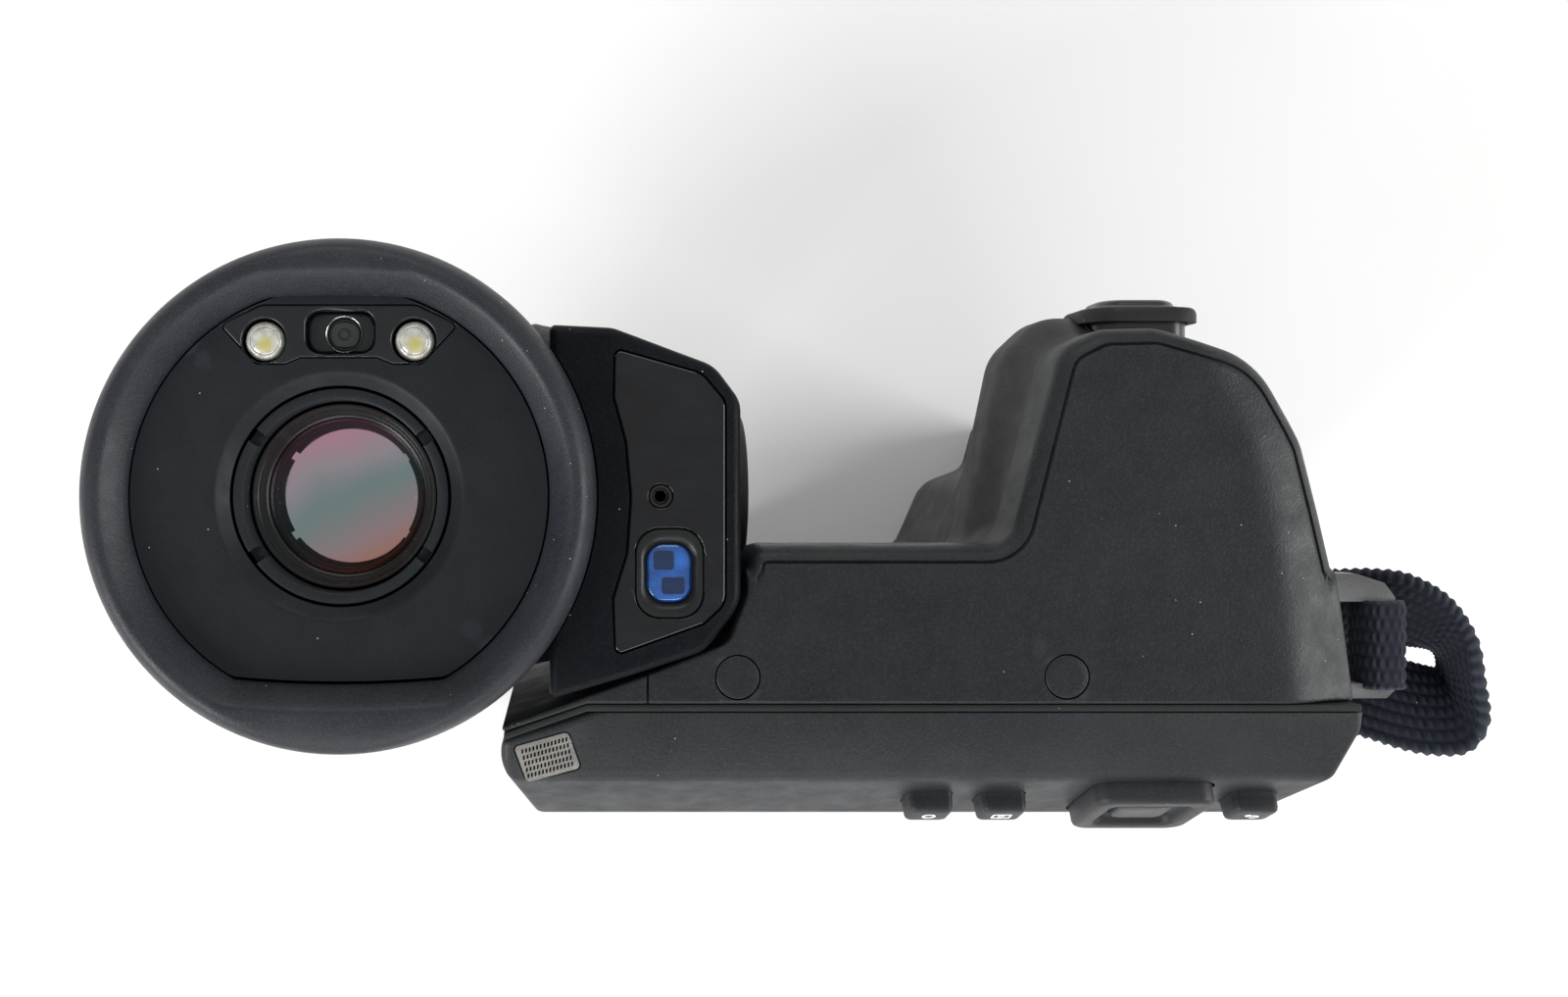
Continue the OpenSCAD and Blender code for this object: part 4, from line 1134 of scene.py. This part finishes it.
def make_eye():
    """The visible-light camera: bezel, dark barrel, and coated front element."""
    low, high = corners_mm("camera_bezel")
    place = at(LENS.x + 0.2, LENS.y + 25.4, 0)
    top = high.z
    bezel = stack([(10.6, 6.4, 2.1, low.z), (10.6, 6.4, 2.1, top - 0.4), (10.2, 6.0, 2, top - 0.1),
                   (9.4, 5.6, 1.8, top)], 8)
    made = carve(to_mesh(moved(bezel, place), "bezel"),
                 [moved(lathe([(2.5, top - 2.2), (2.98, top - 1.0), (2.98, top + 0.5)], 64),
                        at(LENS.x + EYE[0], LENS.y + EYE[1], 0))])
    add_piece("camera_bezel_cap", made, "lens_block", "lamp_gloss", ["camera_bezel"], 40)
    place = at(LENS.x + EYE[0], LENS.y + EYE[1], 0)
    glass = lathe([(2.45, top - 2.0), (2.42, top - 0.75), (2.1, top - 0.55), (1.6, top - 0.4),
                   (1.0, top - 0.3), (0.5, top - 0.26), (0.1, top - 0.25)], 64)
    add_piece("visible_camera_glass", moved(glass, place), "lens_block", "camera_glass", ["visible_camera"])
    rings = lathe([(2.95, top - 0.3), (2.92, top - 0.08), (2.84, top), (2.74, top - 0.06),
                   (2.62, top - 0.35), (2.5, top - 0.8), (2.95, top - 0.8), (2.95, top - 0.3)], 64, False,
                  False)
    add_piece("visible_camera_ring", moved(rings, place), "lens_block", "eye_metal")
    iris = lathe([(1.05, top - 0.5), (0.98, top - 0.24), (0.8, top - 0.2), (0.62, top - 0.24),
                  (0.55, top - 0.5)], 40, False, False)
    add_piece("visible_camera_iris", moved(iris, place), "lens_block", "barrel_black")


def make_focus_ring():
    """The focus ring: a thin ring with four notches, flush in the mouth of the plate."""
    low, high = corners_mm("focus_ring")
    r0, r1, top = 15.05, 16.85, high.z
    profile = [(r0, low.z), (r1, low.z), (r1, top - 0.5), (r1 - 0.12, top - 0.12), (r1 - 0.4, top),
               (r0 + 0.35, top), (r0 + 0.1, top - 0.15), (r0, top - 0.5), (r0, low.z)]
    skin = to_mesh(moved(lathe(profile, 144, False, False), lens_place(0)), "focus_ring")
    cutters = []
    for turn in (35, 145, 215, 325):
        cutters.append(moved(stack([(3.4, 2.2, 0.5, top - 1.9), (3.4, 2.2, 0.5, top + 1)], 4),
                             lens_place(0) @ Matrix.Rotation(math.radians(turn), 4, "Z") @
                             Matrix.Translation((16.6, 0, 0))))
    add_piece("focus_ring_skin", carve(skin, cutters), "focus_ring", "plate_matte", ["focus_ring"], 40)


def make_cell():
    """The lens cell: stepped rings down to the infrared lens, and the domed lens itself."""
    profile = [(11.6, 126), (14.65, 126), (14.65, 140.3), (14.5, 140.55), (14.2, 140.55), (14.05, 140.3),
               (13.95, 139.5), (13.8, 139.35), (13.65, 139.35), (13.5, 138.9), (13.4, 138.3), (13.2, 138.2),
               (13.05, 138.2), (12.9, 137.8), (12.6, 137.6), (12.56, 137.2), (12.56, 131.95), (11.6, 126)]
    bm = moved(lathe(profile, 144, False, False), lens_place(0))
    add_piece("lens_cell_skin", bm, "lens_cell", "barrel_black", ["lens_cell"], 30)
    r, sphere, rise = 12.5, 40.0, 139.0
    dome = [(r, 132.0), (r, rise - 2.2), (r - 0.15, rise - 2.05)]
    for k in range(1, 25):
        reach = (r - 0.3) * (1 - k / 24.6)
        dome.append((reach, rise - sphere + math.sqrt(sphere * sphere - reach * reach)))
    add_piece("ir_lens_glass", moved(lathe(dome, 160), lens_place(0)), "lens_cell", "ir_coating",
              ["ir_lens"])


def make_wing():
    """The laser wing and the hub that it grows from, cut clear of the ring and the barrel."""
    outline = rounded(WING)
    window = rounded(LASER_GLASS)
    bm = relief([dense(outline, 1.2)], 101, lambda x, y: WING_TOP - rim(distance(x, y, outline, True), 1.6),
                1.6, (0.2, 0.5, 0.9, 1.4))
    wing = to_mesh(bm, "wing")
    hub = [(31.3, -1), (31.5, 0), (31.2, 1.2), (28.9, 13.2), (28.2, 15.6), (24.9, 26.6), (24.1, 28.2),
           (20.9, 31.2), (20.0, 31.9), (16.2, 33.1), (15.4, 33.2), (10.6, 33.2)]
    hub_x = -66
    turn = pivot_place(hub_x)
    wing = carve(wing, [moved(lathe(hub, 128), turn)], "UNION")
    cutters = [moved(lathe([(RING_R + 0.35, RING_BASE - 0.4), (RING_R + 0.35, RING_BASE + 40)], 160),
                     lens_place(0)), moved(lathe([(BARREL_R + 0.02, 20), (BARREL_R + 0.02, 180)], 160),
                                           lens_place(0)), moved(lathe([(10.6, 20), (10.6, 60)], 72), turn),
               loft([[(x, y, WING_TOP - 1.25) for x, y in window],
                     [(x, y, WING_TOP + 1) for x, y in window]])]
    wing = carve(wing, cutters)
    add_piece("laser_wing_shell", wing, "lens_block", "lens_shell", ["laser_wing"], 35)


def make_laser():
    """The gloss window of the laser range finder, its emitter and its blue receiver."""
    inset = shrunk(rounded(LASER_GLASS), -0.12 if area(rounded(LASER_GLASS)) < 0 else 0.12)
    top = WING_TOP - 0.05
    loops = [dense(inset, 0.7), circle(EMITTER[0], EMITTER[1], 1.95, 40),
             box2(10.9, 14.3, 3.9, RECEIVER[0], RECEIVER[1])]

    def height(x, y):
        drop = rim(distance(x, y, loops[0], True), 0.6)
        for loop in loops[1:]:
            drop = np.maximum(drop, rim(distance(x, y, loop, True), 0.15))
        return top - drop
    bm = relief(loops, WING_TOP - 1.2, height, 1.2, (0.08, 0.2, 0.4, 0.6))
    add_piece("laser_window_pane", bm, "lens_block", "laser_panel", ["laser_glass"], 50)
    place = at(EMITTER[0], EMITTER[1], 0)
    ring = lathe([(1.85, top - 3), (1.85, top - 0.3), (1.7, top - 0.05), (1.35, top - 0.02),
                  (1.2, top - 0.25), (1.1, top - 1.1), (0.9, top - 1.2), (0.1, top - 1.2)], 48)
    add_piece("laser_emitter_ring", moved(ring, place), "lens_block", "barrel_black", ["laser_emitter"])
    place = at(RECEIVER[0], RECEIVER[1], 0)
    levels = [(10.6, 14, 3.8, top - 3), (10.6, 14, 3.8, top - 0.35), (10.2, 13.6, 3.7, top - 0.05),
              (9.6, 12.6, 3.5, top), (8.6, 11.2, 3.2, top - 0.15), (7.8, 10, 3, top - 0.6),
              (7.4, 9.5, 2.9, top - 1.4), (7.4, 9.5, 2.9, top - 3), (10.6, 14, 3.8, top - 3)]
    add_piece("receiver_frame_ring", moved(stack(levels, 8, False, False), place), "lens_block",
              "barrel_black", ["receiver_frame"])
    lens = stack([(7.1, 9.2, 2.8, top - 2.8), (7.1, 9.2, 2.8, top - 1.25), (6.6, 8.7, 2.7, top - 1.0),
                  (5.4, 7.3, 2.3, top - 0.8), (3.6, 5.2, 1.7, top - 0.68), (1.6, 2.6, 0.8, top - 0.62)], 8)
    add_piece("receiver_lens_glass", moved(lens, place), "lens_block", "receiver_blue", ["receiver_lens"])
    bm = bmesh.new()
    for x, y, w, h in ((-0.9, 2.0, 3.2, 3.0), (0.6, -2.0, 3.6, 2.6)):
        block = stack([(w, h, 0.5, top - 1.0), (w, h, 0.5, top - 0.57),
                       (w - 0.3, h - 0.3, 0.4, top - 0.54)], 4)
        bm.from_mesh(to_mesh(moved(block, place @ Matrix.Translation((x, y, 0))), "block"))
    made = bpy.data.meshes.new("receiver_blocks")
    bm.to_mesh(made)
    add_piece("receiver_blocks", made, "lens_block", "receiver_dark")


# ---------------------------------------------------------------- strap and lugs

# Half the webbing's width and thickness, and the weave's pitch along it and across it
STRAP_HALF = 8.8
WEB_HALF = 0.75
PICK = 1.5
END = 2.2


def smooth_route(samples):
    """The strap's places and half-width vectors at even steps of a Catmull-Rom spline, and its length."""
    keys = [np.array(list(p) + list(w), float) for p, w in STRAP]
    keys = [2 * keys[0] - keys[1]] + keys + [2 * keys[-1] - keys[-2]]
    fine = []
    for i in range(1, len(keys) - 2):
        a, b, c, d = keys[i - 1:i + 3]
        for t in np.linspace(0, 1, 24, endpoint=False):
            fine.append(0.5 * (2 * b + (c - a) * t + (2 * a - 5 * b + 4 * c - d) * t ** 2 +
                               (3 * b - a - 3 * c + d) * t ** 3))
    fine.append(keys[-2])
    fine = np.array(fine)
    run = np.concatenate([[0], np.cumsum(np.linalg.norm(np.diff(fine[:, :3], axis=0), axis=1))])
    even = np.linspace(0, run[-1], samples)
    return np.array([np.interp(even, run, fine[:, k]) for k in range(6)]).T, run[-1]


def woven(s, across):
    """How far a cell of the weave bulges, 0 to 1, at a place along and across the webbing."""
    stagger = 0.5 * (math.floor(across / END) % 2)
    row = abs(math.sin(math.pi * (s / PICK + stagger)))
    return row ** 0.8 * abs(math.sin(math.pi * across / END)) ** 0.6


def make_strap():
    """The hand strap: a ribbon of coarse webbing, its ribs and selvedges woven in the geometry."""
    _, length = smooth_route(10)
    nu, nv = int(length / 0.36), 56
    route, _ = smooth_route(nu)
    centre, half = route[:, :3], route[:, 3:]
    along = np.gradient(centre, axis=0)
    along /= np.linalg.norm(along, axis=1)[:, None]
    face = np.cross(along, half)
    face /= np.linalg.norm(face, axis=1)[:, None]
    bm = bmesh.new()
    grid = {}
    for side in (1, -1):
        for i in range(nu):
            s = length * i / (nu - 1)
            for j in range(nv + 1):
                t = -1 + 2 * j / nv
                weave = 0.5 * woven(s, t * STRAP_HALF)
                edge = max(0, abs(t) - 0.86) / 0.14
                scallop = 1 + 0.03 * edge * math.cos(2 * math.pi * s / PICK)
                lift = (WEB_HALF + weave) * math.sqrt(max(0.02, 1 - edge ** 3 * 0.98))
                if edge >= 1:
                    lift = 0
                p = centre[i] + half[i] * t * scallop + face[i] * side * lift
                grid[side, i, j] = bm.verts.new(p)
    for side in (1, -1):
        for i in range(nu - 1):
            for j in range(nv):
                quad = [grid[side, i, j], grid[side, i + 1, j], grid[side, i + 1, j + 1],
                        grid[side, i, j + 1]]
                bm.faces.new(quad if side > 0 else quad[::-1])
    for i in (0, nu - 1):
        for j in range(nv):
            bm.faces.new([grid[1, i, j], grid[1, i, j + 1], grid[-1, i, j + 1], grid[-1, i, j]])
    add_piece("hand_strap_webbing", bm, "camera_body", "strap_webbing", ["hand_strap"], 70)
    make_strap_loop()
    make_lint(centre, half, face)


def make_strap_loop():
    """The turn of webbing round the outer bar of the upper lug."""
    loop = [(74.9, 118.2), (82, 118.2), (82, 125.5), (74.9, 125.5)]
    outline = rounded([(x, z, 2.2) for x, z in loop], 6)
    path = dense(outline, 0.4)
    sleeve = bmesh.new()
    rows = []
    top, bottom = 11.6, -3.4
    steps = 40
    middle = np.mean(np.array(path), axis=0)
    for j in range(steps + 1):
        y = bottom + (top - bottom) * j / steps
        row_points = []
        for k, (x, z) in enumerate(path):
            out = np.array([x, z]) - middle
            out /= np.linalg.norm(out)
            lift = 0.4 * woven(0.4 * k, y) - (0.35 if j in (0, steps) else 0)
            row_points.append(sleeve.verts.new((x + out[0] * lift, y, z + out[1] * lift)))
        rows.append(row_points)
    for j in range(steps):
        for k in range(len(path)):
            n = (k + 1) % len(path)
            sleeve.faces.new([rows[j][k], rows[j][n], rows[j + 1][n], rows[j + 1][k]])
    inner = []
    for y in (bottom, top):
        inner.append([sleeve.verts.new((middle[0] + (x - middle[0]) * 0.74, y,
                                        middle[1] + (z - middle[1]) * 0.74)) for x, z in path])
    for k in range(len(path)):
        n = (k + 1) % len(path)
        sleeve.faces.new([rows[0][n], rows[0][k], inner[0][k], inner[0][n]])
        sleeve.faces.new([rows[-1][k], rows[-1][n], inner[1][n], inner[1][k]])
        sleeve.faces.new([inner[0][n], inner[0][k], inner[1][k], inner[1][n]])
    bmesh.ops.recalc_face_normals(sleeve, faces=sleeve.faces)
    add_piece("hand_strap_loop", sleeve, "camera_body", "strap_webbing")


def make_lint(centre, half, face):
    """Loose fibres standing off the webbing, most of them at its edges."""
    draw = random.Random(7)
    lint = bmesh.new()
    for _ in range(230):
        i = draw.randrange(10, len(centre) - 10)
        t = draw.uniform(-1, 1)
        side = draw.choice((1, -1))
        root = centre[i] + half[i] * t + face[i] * side * (0.9 if abs(t) < 0.9 else 0.2)
        way = face[i] * side + np.array([draw.gauss(0, 0.7) for _ in range(3)])
        if abs(t) > 0.8:
            way = way + half[i] / STRAP_HALF * math.copysign(1.2, t)
        way /= np.linalg.norm(way)
        bend = np.array([draw.gauss(0, 0.5) for _ in range(3)])
        reach = draw.uniform(0.5, 1.3)
        spots = [root + way * reach * k / 3 + bend * reach * (k / 3) ** 2 * 0.6 for k in range(4)]
        w = 0.022
        corners = [np.array(c) for c in ((w, 0, 0), (-w / 2, w * 0.87, 0), (-w / 2, -w * 0.87, 0))]
        rings = [[p + c for c in corners] for p in spots]
        strand = loft([[tuple(q) for q in ring] for ring in rings])
        lint.from_mesh(to_mesh(strand, "strand"))
    made = bpy.data.meshes.new("hand_strap_lint")
    lint.to_mesh(made)
    add_piece("hand_strap_lint", made, "camera_body", "strap_webbing")


# ---------------------------------------------------------------- scene

def area_light(name, place, aim, size, watts):
    """A soft square light at a place in metres, turned to face a point."""
    lamp = bpy.data.lights.new(name, "AREA")
    lamp.shape = "RECTANGLE"
    lamp.size, lamp.size_y = size
    lamp.energy = watts
    thing = bpy.data.objects.new(name, lamp)
    thing.location = place
    thing.rotation_euler = (Vector(aim) - Vector(place)).to_track_quat("-Z", "Y").to_euler()
    bpy.context.scene.collection.objects.link(thing)


def make_stage():
    """A pale floor, a pale world and four soft lights."""
    size, top = 6.0, -0.0002
    bm = bmesh.new()
    bmesh.ops.create_grid(bm, x_segments=4, y_segments=4, size=size / 2)
    bmesh.ops.translate(bm, verts=bm.verts, vec=(0, 0, top))
    data = bpy.data.meshes.new("floor")
    bm.to_mesh(data)
    floor = bpy.data.objects.new("floor", data)
    bpy.context.scene.collection.objects.link(floor)
    paint = Paint("floor_paint")
    paint.colour(paint.mix(paint.noise(40, 2), (0.93, 0.93, 0.925), (0.95, 0.95, 0.945)))
    paint.set(Roughness=0.9, Specular_IOR_Level=0.1)
    data.materials.append(paint.made)
    world = bpy.data.worlds.new("world")
    bpy.context.scene.world = world
    world.use_nodes = True
    sky = world.node_tree.nodes["Background"]
    sky.inputs["Color"].default_value = (1, 1, 1, 1)
    sky.inputs["Strength"].default_value = 0.47
    aim = (-0.02, 0.02, 0.08)
    area_light("light_window", (-1.3, -0.9, 0.9), aim, (0.8, 0.6), 22)
    area_light("light_right", (1.5, -0.1, 0.8), aim, (1.0, 0.6), 18)
    area_light("light_lower", (0.1, -1.5, 0.9), aim, (1.4, 0.5), 11)
    area_light("light_upper", (-0.1, 1.5, 1.1), aim, (1.4, 0.5), 7)
    scene = bpy.context.scene
    scene.view_settings.view_transform = "Standard"
    scene.view_settings.look = "None"
    scene.view_settings.exposure = 0


def make_camera():
    """The camera: it looks straight down the optical axis from above."""
    data = bpy.data.cameras.new("camera")
    data.sensor_width = 36
    data.lens = 33.14
    data.shift_x = 0.1375
    data.shift_y = -0.0116
    data.clip_start = 0.01
    eye = bpy.data.objects.new("camera", data)
    eye.location = (-0.060, 0.032, 0.3691)
    bpy.context.scene.collection.objects.link(eye)
    bpy.context.scene.camera = eye


def paint_nodes():
    """Every CAD node that still shows gets its slot's material."""
    for row in frame["record"]["subparts"]:
        node = frame["nodes"][row["node"]]
        paint = PAINTS[row["material_slot"]]
        if not node.material_slots:
            node.data.materials.append(paint)
        for spot in node.material_slots:
            spot.link = "OBJECT"
            spot.material = paint


make_camera()
make_stage()
paint_nodes()
make_cover()
make_plugs()
make_shell()
make_seal()
make_housing()
make_display_glass()
make_grille()
make_keys()
make_navigation()
make_power_button()
make_trigger()
make_ring()
make_barrel()
make_plate()
make_window()
make_lamps()
make_eye()
make_focus_ring()
make_cell()
make_wing()
make_laser()
make_strap()
soften("upper_strap_lug", 0.5, "lug_metal", "camera_body")
soften("lower_strap_lug", 0.5, "lug_metal", "camera_body")
soften("battery_door", 0.3, "housing_plastic", "battery_door")
soften("battery_latch", 0.2, "latch_red", "battery_latch")
soften("connector_flap", 0.3, "seal_rubber", "connector_flap")
